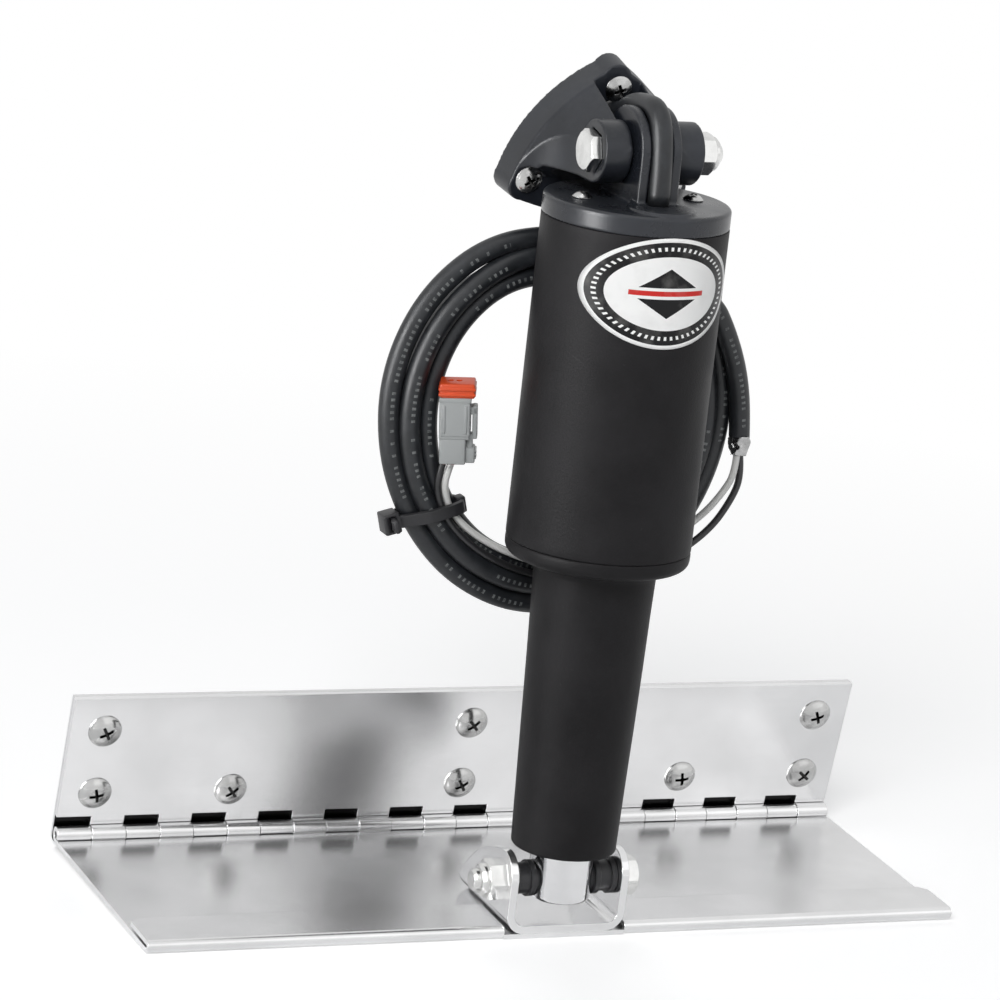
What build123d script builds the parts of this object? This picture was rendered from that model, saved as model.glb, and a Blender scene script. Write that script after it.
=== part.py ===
from build123d import *
from math import cos, pi, radians, sin, sqrt, tan
import os

# Boat trim tab with an electric actuator, in millimetres.
# X runs across the boat, -Y runs aft (towards the viewer), +Z is up.
# The origin is the centre of the hinge pin, halfway along it.

os.makedirs("parts", exist_ok=True)

# Hinge
hinge_width = 304.8
knuckle_count = 24
pin_radius = 1.25
pin_play = 0.05
knuckle_side_gap = 0.3
seam_gap = 0.3

# Tab blade
tab_sheet = 1.7
chord = 104.0
hem_gap = 1.1
hem_flange = 22.0
hem_cutout = 45.6
tab_rest_angle = 1.6

# Transom leaf and its backing plate
leaf_sheet = 1.9
backing_sheet = 1.5
leaf_height = 54.0
window_height = 3.4
leaf_rake = 11.3
backing_corner = 5.0
screw_low_row = 16.0
screw_high_row = 41.0
screw_edge = 12.7
screw_inner = 88.9

# Pan-head transom screws
pan_head_radius = 6.15
pan_head_height = 2.8
screw_neck_radius = 2.7
screw_radius = 2.4
screw_free_length = 16.0
screw_point = 5.0
screw_hole_play = 0.2

# Lower clevis
clevis_sheet = 2.7
clevis_width = 44.4
clevis_depth = 44.5
clevis_bend = 4.0
clevis_crown = 10.3
pivot_from_edge = 9.7
pivot_height = 15.8

# Pivot bolts, 5/16 inch
bolt_radius = 3.97
bolt_play = 0.06
hex_flats = 12.7
head_height = 5.3
nut_hex_height = 6.4
nut_collar_height = 2.3
bushing_radius = 6.4
bushing_stem_radius = 5.0
bushing_rim = 1.9

# Ram
ram_radius = 11.1
ram_bore = 7.6
ram_tip = 7.0
ram_top = 112.0
ram_edge = 1.5

# Actuator lengths, measured up from the lower pivot
sleeve_start = 11.6
sleeve_end = 115.1
seam_level = 121.4
cap_level = 233.5
cap_top_level = 240.3
upper_pivot_level = 256.3

# Actuator radii
sleeve_low_radius = 18.3
sleeve_high_radius = 21.2
housing_radius = 31.8
housing_wall = 3.2
flange_round = 3.2
guide_radius = 15.5
spigot_play = 0.1
running_play = 0.05

# Drive
screw_pitch = 3.175
lead_radius = 6.3
lead_end = 44.0
stroke = 57.15
ring_rim = 3.25
sun_teeth = 12
planet_teeth = 18
ring_teeth = 48
planet_count = 3
gear_low = 144.0
gear_width = 9.0
motor_radius = 25.4
motor_low = 160.0
motor_high = 221.0
shaft_radius = 2.5
can_boss_radius = 7.0
can_boss_height = 2.0
can_centre_depth = 8.0

# Label
label_film = 0.25
label_half_width = 26.6
label_half_height = 18.8
label_level = 213.4

# Upper eye and bracket
eye_half_width = 7.4
eye_radius = 15.5
cable_radius = 3.75
groove_play = 0.35
ear_gap = 1.2
ear_outer = 18.2
ear_nose = 10.5
bracket_back = 40.0
bracket_base = 12.5
bracket_half_width = 33.5
bracket_top = 19.5
bracket_bottom = 36.0
bracket_screw_high = 11.2
bracket_screw_low = 22.7
bracket_screw_side = 26.4
bracket_head_radius = 4.6
bracket_head_height = 2.4
bracket_thread_radius = 2.25
bracket_thread_length = 8.9
bracket_screw_point = 4.0
bracket_pocket_play = 0.9
bracket_tilt_low = -6.0
scoop_start = 5.0
scoop_depth = 3.7

# Cable coil behind the housing
coil_x = 2.7
coil_z = 165.9
coil_outer = 70.6
coil_radial = 21.5
coil_axial = 14.6
coil_gap = 0.3
tie_angle = 210.7
tie_width = 4.8
tie_thickness = 1.3

# Derived sizes
half = hinge_width / 2
pitch = hinge_width / knuckle_count
bore_radius = pin_radius + pin_play
tab_knuckle = bore_radius + tab_sheet
leaf_knuckle = bore_radius + leaf_sheet
knuckle_length = pitch - knuckle_side_gap
bolt_hole = bolt_radius + bolt_play
bushing_bore = bolt_radius + running_play
housing_bore = housing_radius - housing_wall
clevis_inner = clevis_width / 2 - clevis_sheet
ear_inner = eye_half_width + ear_gap
pivot_y_on_tab = -(chord - pivot_from_edge)


def turn_x(shape, angle):
    return shape.rotate(Axis.X, angle)


def on_tab(shape):
    return turn_x(shape, tab_rest_angle)


def on_leaf(shape):
    return turn_x(shape, leaf_rake)


tab_turn = radians(tab_rest_angle)
pivot_y = pivot_y_on_tab * cos(tab_turn) - pivot_height * sin(tab_turn)
pivot_z = pivot_y_on_tab * sin(tab_turn) + pivot_height * cos(tab_turn)
upper_pivot_z = pivot_z + upper_pivot_level
rake = radians(leaf_rake)

# the backing plate and the nose of the tab stand on one floor
floor_z = -tab_knuckle * cos(tab_turn) - (chord - tab_knuckle) * sin(tab_turn)
backing_front = leaf_knuckle
backing_back = backing_front + backing_sheet
backing_drop = (backing_front * sin(rake) - floor_z) / cos(rake)


def on_actuator(shape):
    return shape.moved(Location((0, pivot_y, pivot_z)))


def on_bracket(shape):
    return turn_x(shape, leaf_rake).moved(Location((0, pivot_y, upper_pivot_z)))


def save(shape, name):
    if isinstance(shape, (list, tuple)):
        shape = Compound(children=list(shape))
    solids = shape.solids()
    if len(solids) == 1:
        shape = solids[0]
    export_step(shape, "parts/" + name + ".step")
    print(name, len(solids), "solid(s)", round(sum(s.volume for s in solids), 1), "mm3")


def block(x0, x1, y0, y1, z0, z1):
    box = Box(x1 - x0, y1 - y0, z1 - z0)
    return box.moved(Location(((x0 + x1) / 2, (y0 + y1) / 2, (z0 + z1) / 2)))


def rod_x(radius, x0, x1, y=0.0, z=0.0):
    rod = Cylinder(radius, x1 - x0).rotate(Axis.Y, 90)
    return rod.moved(Location(((x0 + x1) / 2, y, z)))


def rod_y(radius, y0, y1, x=0.0, z=0.0):
    rod = Cylinder(radius, y1 - y0).rotate(Axis.X, 90)
    return rod.moved(Location((x, (y0 + y1) / 2, z)))


def rod_z(radius, z0, z1, x=0.0, y=0.0):
    return Cylinder(radius, z1 - z0).moved(Location((x, y, (z0 + z1) / 2)))


def ring_z(outer, inner, z0, z1):
    return rod_z(outer, z0, z1) - rod_z(inner, z0 - 1, z1 + 1)


def side_profile(points, x0, x1):
    # a closed outline in the YZ plane, extruded from x0 to x1
    face = make_face(Polyline(*[(0, y, z) for y, z in points], close=True))
    return extrude(face, amount=x1 - x0, dir=(1, 0, 0)).moved(Location((x0, 0, 0)))


def turned(points):
    # a closed outline of radius and height, turned about Z
    face = make_face(Polyline(*[(r, 0, z) for r, z in points], close=True))
    return revolve(face, Axis.Z, 360)


def slot_range(index):
    start = -half + index * pitch + knuckle_side_gap / 2
    return start, start + knuckle_length


tab_slots = range(0, knuckle_count, 2)
leaf_slots = range(1, knuckle_count, 2)


# Tab blade: sheet with rolled knuckles and a folded hem

def tab_finger(index):
    x0, x1 = slot_range(index)
    top = -tab_knuckle + tab_sheet
    finger = rod_x(tab_knuckle, x0, x1)
    finger += block(x0, x1, -blade_back, 0, -tab_knuckle, top)
    finger -= rod_x(bore_radius, x0 - 1, x1 + 1)
    return finger - block(x0 - 1, x1 + 1, -tab_knuckle - 1, -0.6, top, top + seam_gap)


blade_back = leaf_knuckle + 0.4
hem_thickness = 2 * tab_sheet + hem_gap
hem_radius = hem_thickness / 2


def hem(x0, x1, outer_side):
    base = -tab_knuckle
    fold_y = -chord + hem_radius
    fold_z = base + hem_radius
    fold = rod_x(hem_radius, x0, x1, fold_y, fold_z) - rod_x(hem_gap / 2, x0 - 1, x1 + 1, fold_y, fold_z)
    fold -= block(x0 - 1, x1 + 1, fold_y, fold_y + hem_thickness, base - 1, base + hem_thickness + 1)
    edge = -chord + hem_flange
    top = base + hem_thickness
    flange = block(x0, x1, fold_y, edge, top - tab_sheet, top)
    corner = flange.edges().filter_by(Axis.Z).group_by(Axis.Y)[-1].sort_by(Axis.X)
    flange = chamfer(corner[-1] if outer_side > 0 else corner[0], 3.0)
    return fold + flange


def tab_blade():
    base = -tab_knuckle
    body = block(-half, half, -chord + hem_radius, -blade_back, base, base + tab_sheet)
    side = hem_cutout / 2
    lip = block(-side, side, -chord + 0.4, -chord + hem_radius, base, base + tab_sheet)
    body += lip
    body += hem(-half, -side, -1)
    body += hem(side, half, 1)
    for index in tab_slots:
        body += tab_finger(index)
    return on_tab(body)


save(tab_blade(), "tab_blade")
save(rod_x(pin_radius, -half + 1.0, half - 1.0), "hinge_pin")


# Transom leaf: sheet with rolled knuckles, dark windows above the tab's knuckles

leaf_front = leaf_knuckle - leaf_sheet
window_top = tab_knuckle + window_height
screw_places = [(-half + screw_edge, screw_low_row), (-screw_inner, screw_low_row), (0, screw_low_row),
                (screw_inner, screw_low_row), (half - screw_edge, screw_low_row),
                (-half + screw_edge, screw_high_row), (0, screw_high_row), (half - screw_edge, screw_high_row)]


def leaf_finger(index):
    x0, x1 = slot_range(index)
    finger = rod_x(leaf_knuckle, x0, x1)
    finger += block(x0, x1, leaf_front, leaf_knuckle, 0, window_top)
    finger -= rod_x(bore_radius, x0 - 1, x1 + 1)
    return finger - block(x0 - 1, x1 + 1, leaf_front - seam_gap, leaf_front, 0.6, leaf_knuckle + 1)


def screw_holes(y0, y1):
    play = screw_neck_radius + screw_hole_play
    return [rod_y(play, y0 - 1, y1 + 1, x, z) for x, z in screw_places]


def transom_leaf():
    leaf = block(-half, half, leaf_front, leaf_knuckle, window_top, leaf_height)
    for index in leaf_slots:
        leaf += leaf_finger(index)
    for hole in screw_holes(leaf_front, leaf_knuckle):
        leaf -= hole
    return on_leaf(leaf)


def backing_plate():
    plate = block(-half, half, backing_front, backing_back, -backing_drop, leaf_height)
    low = plate.edges().filter_by(Axis.Y).group_by(Axis.Z)[0]
    plate = fillet(low, backing_corner)
    for hole in screw_holes(backing_front, backing_back):
        plate -= hole
    return on_leaf(plate)


save(transom_leaf(), "transom_leaf")
save(backing_plate(), "backing_plate")


def cross_recess(depth, reach):
    # a tapered cross, cut down from z = 0
    arm = loft([Rectangle(2 * reach, 1.5), Plane.XY.offset(-depth) * Rectangle(reach * 0.5, 0.7)])
    return arm + arm.rotate(Axis.Z, 90)


def wood_screw(head_radius, head_height, neck_radius, neck_length, radius, length, point, reach):
    # head up along +Z, bearing face at z = 0, point down
    dome = Sphere((head_radius ** 2 + head_height ** 2) / (2 * head_height) * 1.0)
    dome = dome.moved(Location((0, 0, head_height - (head_radius ** 2 + head_height ** 2) / (2 * head_height))))
    head = dome & rod_z(head_radius - 0.1, 0, head_height + 1)
    head -= cross_recess(head_height * 0.75, reach).rotate(Axis.Z, 45).moved(Location((0, 0, head_height + 0.02)))
    end = -neck_length - length
    shank = turned([(0, 0), (neck_radius, 0), (neck_radius, -neck_length), (radius, -neck_length),
                    (radius, end), (0.3, end - point), (0, end - point)])
    return head + shank


def transom_screws():
    neck = leaf_sheet + backing_sheet
    screw = wood_screw(pan_head_radius, pan_head_height, screw_neck_radius, neck, screw_radius,
                       screw_free_length, screw_point, 3.2)
    screw = screw.rotate(Axis.X, 90)
    return [on_leaf(screw.moved(Location((x, leaf_front, z)))) for x, z in screw_places]


save(transom_screws(), "transom_screws")


# Lower clevis: bent channel welded to the blade

clevis_floor = -tab_knuckle + tab_sheet
clevis_front = -chord + 0.4
clevis_rear = clevis_front + clevis_depth


def lower_clevis():
    reach = clevis_width / 2
    top = pivot_height + clevis_crown + 1
    outer = Pos(0, (clevis_floor + top + 10) / 2) * RectangleRounded(
        clevis_width, top + 10 - clevis_floor, clevis_bend + clevis_sheet)
    inner = Pos(0, (clevis_floor + top + 20) / 2 + clevis_sheet / 2) * RectangleRounded(
        clevis_width - 2 * clevis_sheet, top + 20 - clevis_floor - clevis_sheet, clevis_bend)
    channel = extrude(Plane.XZ * (outer - inner), amount=-clevis_depth)
    channel = channel.moved(Location((0, clevis_front, 0)))
    crown_y = pivot_y_on_tab + 2.0
    crown_z = pivot_height + clevis_crown
    outline = make_face([
        Line((0, clevis_front, clevis_floor - 1), (0, clevis_front, crown_z - 8.0)),
        ThreePointArc((0, clevis_front, crown_z - 8.0), (0, clevis_front + 2.9, crown_z - 2.2), (0, crown_y, crown_z)),
        ThreePointArc((0, crown_y, crown_z), (0, crown_y + 19.0, crown_z - 7.5), (0, clevis_rear, crown_z - 22.5)),
        Line((0, clevis_rear, crown_z - 22.5), (0, clevis_rear, clevis_floor - 1)),
        Line((0, clevis_rear, clevis_floor - 1), (0, clevis_front, clevis_floor - 1))])
    limit = extrude(outline, amount=clevis_width + 2, dir=(1, 0, 0)).moved(Location((-reach - 1, 0, 0)))
    channel &= limit
    channel -= rod_x(bolt_hole, -reach - 1, reach + 1, pivot_y_on_tab, pivot_height)
    return on_tab(channel)


save(lower_clevis(), "lower_clevis")


# Hex bolt, nylon-insert nut and flanged bushings, made along X about the pivot

def hexagon_x(flats, x0, x1):
    prism = extrude(RegularPolygon(flats / 2, 6, major_radius=False), amount=x1 - x0)
    prism = prism.rotate(Axis.Z, 30)
    crown = turned([(0, 0), (flats / 2 + 0.1, 0), (flats / 2 * 1.16, 0.7), (flats / 2 * 1.16, x1 - x0), (0, x1 - x0)])
    return (prism & crown).rotate(Axis.Y, 90).moved(Location((x0, 0, 0)))


def flip_x(shape):
    return shape.mirror(Plane.YZ)


def pivot_bolt(head_face, far_end):
    # head on the -X side, bearing on head_face
    head = hexagon_x(hex_flats, head_face - head_height, head_face)
    shank = rod_x(bolt_radius, head_face, far_end - 1.0)
    tip = turned([(0, 0), (bolt_radius, 0), (bolt_radius - 0.8, 1.0), (0, 1.0)])
    return head + shank + tip.rotate(Axis.Y, 90).moved(Location((far_end - 1.0, 0, 0)))


def lock_nut(face):
    # bearing on face, collar towards +X
    hexagon = flip_x(hexagon_x(hex_flats, -face - nut_hex_height, -face))
    start = face + nut_hex_height
    collar = turned([(0, 0), (hex_flats / 2 - 0.6, 0), (hex_flats / 2 - 0.6, nut_collar_height - 1.0),
                     (hex_flats / 2 - 1.6, nut_collar_height), (0, nut_collar_height)])
    collar = collar.rotate(Axis.Y, 90).moved(Location((start, 0, 0)))
    return hexagon + collar - rod_x(bolt_radius, face - 1, start + nut_collar_height + 1)


def bushing(inner_face, outer_face, stem_end):
    # flanged spacer on the +X side of the ram or of the eye
    middle = (inner_face + outer_face) / 2
    rim = min(bushing_rim, (outer_face - inner_face) / 2)
    body = rod_x(bushing_radius - 0.9, inner_face, outer_face)
    body += rod_x(bushing_radius, inner_face, inner_face + rim)
    body += rod_x(bushing_radius, outer_face - rim, outer_face)
    body += rod_x(bushing_stem_radius, stem_end, middle)
    return body - rod_x(bushing_bore, stem_end - 1, outer_face + 1)


def at_lower_pivot(shape):
    return shape.moved(Location((0, pivot_y, pivot_z)))


def lower_hardware():
    reach = clevis_width / 2
    bolt = flip_x(pivot_bolt(-reach, reach + nut_hex_height + nut_collar_height + 2.6))
    nut = flip_x(lock_nut(reach))
    spacer = bushing(ram_radius + 0.15, clevis_inner - 0.15, 1.0)
    save(at_lower_pivot(bolt), "lower_bolt")
    save(at_lower_pivot(nut), "lower_nut")
    save([at_lower_pivot(spacer), at_lower_pivot(flip_x(spacer))], "lower_bushings")


lower_hardware()


# Ram, its bronze nut and the lead screw

nut_flange_top = ram_top + 6.0
nut_grip = 14.0
ram_bore_end = 13.0


def ram():
    outline = [(0, -ram_tip), (ram_radius - ram_edge, -ram_tip), (ram_radius, -ram_tip + ram_edge),
               (ram_radius, ram_top), (ram_bore, ram_top), (ram_bore, ram_bore_end), (0, ram_bore_end)]
    body = turned(outline)
    return on_actuator(body - rod_x(bushing_stem_radius + 0.02, -ram_radius - 1, ram_radius + 1))


def ram_nut():
    inner = lead_radius + running_play
    outline = [(inner, ram_top - nut_grip), (ram_bore, ram_top - nut_grip), (ram_bore, ram_top),
               (guide_radius - 0.3, ram_top), (guide_radius - 0.3, nut_flange_top), (inner, nut_flange_top)]
    return on_actuator(turned(outline))


def lead_screw():
    # threaded length shown at its outer diameter, with a journal and a square drive at the top
    body = turned([(0, lead_end), (lead_radius - 1.2, lead_end), (lead_radius, lead_end + 1.2),
                   (lead_radius, seam_level + 2.0), (lead_radius + 1.5, seam_level + 2.0),
                   (lead_radius + 1.5, bearing_low), (lead_radius - 0.3, bearing_low),
                   (lead_radius - 0.3, bearing_high), (lead_radius - 1.8, bearing_high),
                   (lead_radius - 1.8, carrier_low), (0, carrier_low)])
    side = 2 * (lead_radius - 1.8) / sqrt(2)
    body += block(-side / 2, side / 2, -side / 2, side / 2, carrier_low, carrier_high - 0.5)
    return on_actuator(body)


bearing_low = 126.0
bearing_high = 134.0
carrier_low = 136.5
carrier_high = 143.0

save(ram(), "ram")
save(ram_nut(), "ram_nut")
save(lead_screw(), "lead_screw")


# Lower housing: tapered sleeve, rounded flange, spigot and bearing seat

spigot_top = 134.5
bearing_radius = 16.0


def lower_housing():
    outline = make_face([
        Line((ram_radius + 0.5, 0, sleeve_start), (sleeve_low_radius - 0.8, 0, sleeve_start)),
        Line((sleeve_low_radius - 0.8, 0, sleeve_start), (sleeve_low_radius, 0, sleeve_start + 0.8)),
        Line((sleeve_low_radius, 0, sleeve_start + 0.8), (sleeve_high_radius, 0, sleeve_end)),
        Line((sleeve_high_radius, 0, sleeve_end), (flange_inner, 0, sleeve_end)),
        ThreePointArc((flange_inner, 0, sleeve_end), (flange_middle, 0, sleeve_end + 0.3 * flange_round),
                      (housing_radius, 0, sleeve_end + flange_round)),
        Line((housing_radius, 0, sleeve_end + flange_round), (housing_radius, 0, seam_level - 0.5)),
        Line((housing_radius, 0, seam_level - 0.5), (housing_radius - 0.5, 0, seam_level)),
        Line((housing_radius - 0.5, 0, seam_level), (housing_bore - spigot_play, 0, seam_level)),
        Line((housing_bore - spigot_play, 0, seam_level), (housing_bore - spigot_play, 0, spigot_top)),
        Line((housing_bore - spigot_play, 0, spigot_top), (bearing_radius, 0, spigot_top)),
        Line((bearing_radius, 0, spigot_top), (bearing_radius, 0, bearing_low)),
        Line((bearing_radius, 0, bearing_low), (lead_radius + 2.2, 0, bearing_low)),
        Line((lead_radius + 2.2, 0, bearing_low), (lead_radius + 2.2, 0, seam_level)),
        Line((lead_radius + 2.2, 0, seam_level), (guide_radius, 0, seam_level)),
        Line((guide_radius, 0, seam_level), (guide_radius, 0, bush_high)),
        Line((guide_radius, 0, bush_high), (bush_radius, 0, bush_high)),
        Line((bush_radius, 0, bush_high), (bush_radius, 0, sleeve_start + 1.2)),
        Line((bush_radius, 0, sleeve_start + 1.2), (ram_radius + 0.5, 0, sleeve_start + 1.2)),
        Line((ram_radius + 0.5, 0, sleeve_start + 1.2), (ram_radius + 0.5, 0, sleeve_start))])
    body = revolve(outline, Axis.Z, 360)
    groove = ring_z(housing_bore + 1, housing_bore - 1.9, ring_seat_low, ring_seat_low + 2.2)
    return on_actuator(body - groove)


bush_radius = 14.4
bush_high = 48.0
flange_inner = housing_radius - flange_round
flange_middle = housing_radius - 0.27 * flange_round
wiper_high = sleeve_start + 5.2
ring_seat_low = 127.0


def guide_bushing():
    body = ring_z(bush_radius, ram_radius + running_play, wiper_high + 0.3, bush_high)
    return on_actuator(body)


def wiper_seal():
    low = sleeve_start + 1.2
    outline = [(ram_radius + running_play, low + 1.6), (ram_radius + 0.6, low), (bush_radius, low),
               (bush_radius, wiper_high), (ram_radius + 1.4, wiper_high), (ram_radius + running_play, wiper_high - 0.8)]
    return on_actuator(turned(outline))


def seal_ring(level):
    # flattened ring between the spigot groove and the bore
    outline = [(housing_bore - 1.85, level + 0.2), (housing_bore - 0.03, level + 0.2),
               (housing_bore - 0.03, level + 2.0), (housing_bore - 1.85, level + 2.0)]
    return on_actuator(turned(outline))


def motor_housing():
    body = ring_z(housing_radius, housing_bore, seam_level, cap_level)
    body = chamfer(body.edges().filter_by(GeomType.CIRCLE).group_by(Axis.Z)[0].sort_by(SortBy.RADIUS)[-1], 0.4)
    return on_actuator(body)


save(lower_housing(), "lower_housing")
save(guide_bushing(), "guide_bushing")
save(wiper_seal(), "wiper_seal")
save(seal_ring(ring_seat_low), "lower_seal_ring")
save(motor_housing(), "motor_housing")


# Screw bearing: inner and outer race with a ring of balls between them

def screw_bearing():
    inner = lead_radius - 0.3 + running_play
    outer = bearing_radius - 0.05
    middle = (inner + outer) / 2
    level = (bearing_low + bearing_high) / 2
    low = bearing_low + 0.1
    track = Torus(middle, ball_radius + 0.05).moved(Location((0, 0, level)))
    races = [ring_z(middle - 1.2, inner, low, bearing_high) - track,
             ring_z(outer, middle + 1.2, low, bearing_high) - track]
    balls = []
    for index in range(ball_count):
        turn = 2 * pi * index / ball_count
        balls.append(Sphere(ball_radius).moved(Location((middle * cos(turn), middle * sin(turn), level))))
    return [on_actuator(piece) for piece in races + balls]


ball_count = 9
ball_radius = 2.4

save(screw_bearing(), "screw_bearing")


# Planetary gears with one tooth form: straight flanks near the pitch circle

tooth_share = 0.215
flank_slope = 0.42
gear_outer = housing_bore - 0.15
module = (gear_outer - ring_rim) / (ring_teeth / 2 + 1.2)
addendum = 0.95 * module
dedendum = 1.2 * module
planet_pin = 2.0
planet_plate = 4.0
ring_lip = 3.0


def gear_outline(teeth, turn, inner=False):
    pitch_radius = module * teeth / 2
    tip = pitch_radius + (-addendum if inner else addendum)
    root = pitch_radius + (dedendum if inner else -dedendum)
    step = 2 * pi / teeth
    at_pitch = step * tooth_share
    narrow = at_pitch - flank_slope * addendum / pitch_radius
    wide = at_pitch + flank_slope * dedendum / pitch_radius
    points = []
    for tooth in range(teeth):
        centre = turn + tooth * step
        for radius, offset in ((root, -wide), (tip, -narrow), (tip, narrow), (root, wide)):
            points.append((radius * cos(centre + offset), radius * sin(centre + offset)))
    return make_face(Polyline(*points, close=True))


planet_arm = module * (sun_teeth + planet_teeth) / 2


def motor_shaft():
    sun = extrude(gear_outline(sun_teeth, 0.0), amount=gear_width).moved(Location((0, 0, gear_low)))
    shaft = rod_z(shaft_radius, gear_low - 0.3, motor_low + can_centre_depth - 0.5)
    return on_actuator(sun + shaft)


def planet_gear(index):
    # the planet meshes with the sun and the ring at its own place
    place = 2 * pi * index / planet_count
    half_step = pi / planet_teeth
    turn = place + pi + half_step - place * sun_teeth / planet_teeth
    gear = extrude(gear_outline(planet_teeth, turn), amount=gear_width - 1)
    gear -= rod_z(planet_pin + running_play, -1, gear_width + 1)
    x = planet_arm * cos(place)
    y = planet_arm * sin(place)
    return on_actuator(gear.moved(Location((x, y, gear_low + 0.3))))


def ring_gear():
    opening = extrude(gear_outline(ring_teeth, 0.0, inner=True), amount=gear_width + 4)
    body = rod_z(gear_outer, 0, gear_width + ring_lip)
    body = (body - opening.moved(Location((0, 0, -1)))).moved(Location((0, 0, gear_low - 2.5)))
    return on_actuator(body)


def planet_carrier():
    body = rod_z(planet_arm + planet_plate, carrier_low + 0.2, carrier_high)
    side = 2 * (lead_radius - 1.8) / sqrt(2)
    body -= block(-side / 2, side / 2, -side / 2, side / 2, carrier_low - 1, carrier_high + 1)
    for index in range(planet_count):
        place = 2 * pi * index / planet_count
        x = planet_arm * cos(place)
        y = planet_arm * sin(place)
        body += rod_z(planet_pin, carrier_high - 1, gear_low + gear_width, x, y)
    return on_actuator(body)


save(motor_shaft(), "motor_shaft")
for number in range(planet_count):
    save(planet_gear(number), "planet_gear_" + str(number + 1))
save(ring_gear(), "ring_gear")
save(planet_carrier(), "planet_carrier")


# Motor and its front plate

plate_low = gear_low - 2.5 + gear_width + ring_lip


def gearbox_plate():
    body = ring_z(gear_outer, shaft_radius + 0.6, plate_low + 0.1, motor_low)
    return on_actuator(body)


def motor_can():
    shaft_bore = shaft_radius + running_play
    body = turned([(shaft_bore, motor_low), (motor_radius - 1, motor_low), (motor_radius, motor_low + 1),
                   (motor_radius, motor_high - 1), (motor_radius - 1, motor_high), (can_boss_radius, motor_high),
                   (can_boss_radius, motor_high + can_boss_height), (0, motor_high + can_boss_height),
                   (0, motor_low + can_centre_depth), (shaft_bore, motor_low + can_centre_depth)])
    for angle in cap_screw_angles:
        x = cap_screw_radius * cos(radians(angle))
        y = cap_screw_radius * sin(radians(angle))
        body -= rod_z(cap_thread_radius, cap_screw_end - 1, motor_high + can_boss_height + 1, x, y)
    return on_actuator(body)


cap_screw_angles = (0, 90, 180)
cap_screw_radius = 20.5
cap_thread_radius = 2.02
cap_screw_end = 210.0

save(gearbox_plate(), "gearbox_plate")
save(motor_can(), "motor_can")


# Top cap with the upper eye, grooved for the cable

groove_radius = cable_radius + groove_play
cable_ride = eye_radius + 0.3
boss_radius = 11.5
boss_height = 1.2
cap_spigot_low = 225.0


def cable_boss():
    # low round boss that the cable comes out of
    boss = rod_z(boss_radius, cap_level, cap_top_level + boss_height, 0, -cable_ride - 3.6)
    return boss & rod_z(housing_radius - 1.2, cap_level, cap_top_level + boss_height + 1)


def top_cap():
    spigot_radius = housing_bore - spigot_play
    body = turned([(0, cap_spigot_low), (spigot_radius, cap_spigot_low), (spigot_radius, cap_level),
                   (housing_radius, cap_level), (housing_radius, cap_top_level - 0.8),
                   (housing_radius - 0.8, cap_top_level), (0, cap_top_level)])
    body -= ring_z(housing_bore + 1, housing_bore - 1.9, cap_ring_low, cap_ring_low + 2.2)
    body += cable_boss()
    for angle in cap_screw_angles:
        x = cap_screw_radius * cos(radians(angle))
        y = cap_screw_radius * sin(radians(angle))
        body -= rod_z(cap_thread_radius + 0.3, cap_spigot_low - 1, cap_top_level + 1, x, y)
    return on_actuator(body - cable_bend())


def cable_bend():
    # the room that the cable takes round the eye
    bend = Torus(cable_ride, groove_radius).rotate(Axis.Y, 90).moved(Location((0, 0, upper_pivot_level)))
    bend &= block(-boss_radius, boss_radius, -2 * eye_radius, 2 * eye_radius,
                  upper_pivot_level, upper_pivot_level + 2 * eye_radius)
    bend += rod_z(groove_radius, cap_top_level + boss_height, upper_pivot_level, 0, -cable_ride)
    return bend + rod_z(groove_radius, cap_top_level + 5, upper_pivot_level, 0, cable_ride)


def upper_eye():
    eye = rod_x(eye_radius, -eye_half_width, eye_half_width, 0, upper_pivot_level)
    eye += block(-eye_half_width, eye_half_width, -eye_radius, eye_radius, cap_top_level, upper_pivot_level)
    eye = chamfer(eye.edges().filter_by(GeomType.CIRCLE), 0.5)
    eye -= cable_boss()
    eye -= cable_bend()
    eye -= rod_x(bushing_stem_radius + 0.02, -eye_half_width - 1, eye_half_width + 1, 0, upper_pivot_level)
    return on_actuator(eye)


cap_ring_low = 227.5


def cap_screws():
    pieces = []
    for angle in cap_screw_angles:
        x = cap_screw_radius * cos(radians(angle))
        y = cap_screw_radius * sin(radians(angle))
        level = cap_top_level + 0.05
        head = turned([(0, 0), (3.6, 0), (3.6, 1.2), (2.6, 2.2), (0, 2.2)])
        head -= cross_recess(1.5, 2.0).moved(Location((0, 0, 2.22)))
        head = head.moved(Location((x, y, level)))
        shank = rod_z(cap_thread_radius - 0.04, cap_screw_end, level, x, y)
        pieces.append(on_actuator(head + shank))
    return pieces


save(top_cap(), "top_cap")
save(upper_eye(), "upper_eye")
save(seal_ring(cap_ring_low), "upper_seal_ring")
save(cap_screws(), "cap_screws")


# Oval label on the front of the housing

def label():
    low = label_level - label_half_height - 1
    shell = ring_z(housing_radius + label_film, housing_radius + 0.01, low, cap_level)
    oval = Plane.XZ * Ellipse(label_half_width, label_half_height)
    cutter = extrude(oval, amount=housing_radius + 5).moved(Location((0, 0, label_level)))
    return on_actuator(shell & cutter)


save(label(), "label")


# Upper bracket, made about the upper pivot with its back towards +Y

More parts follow.
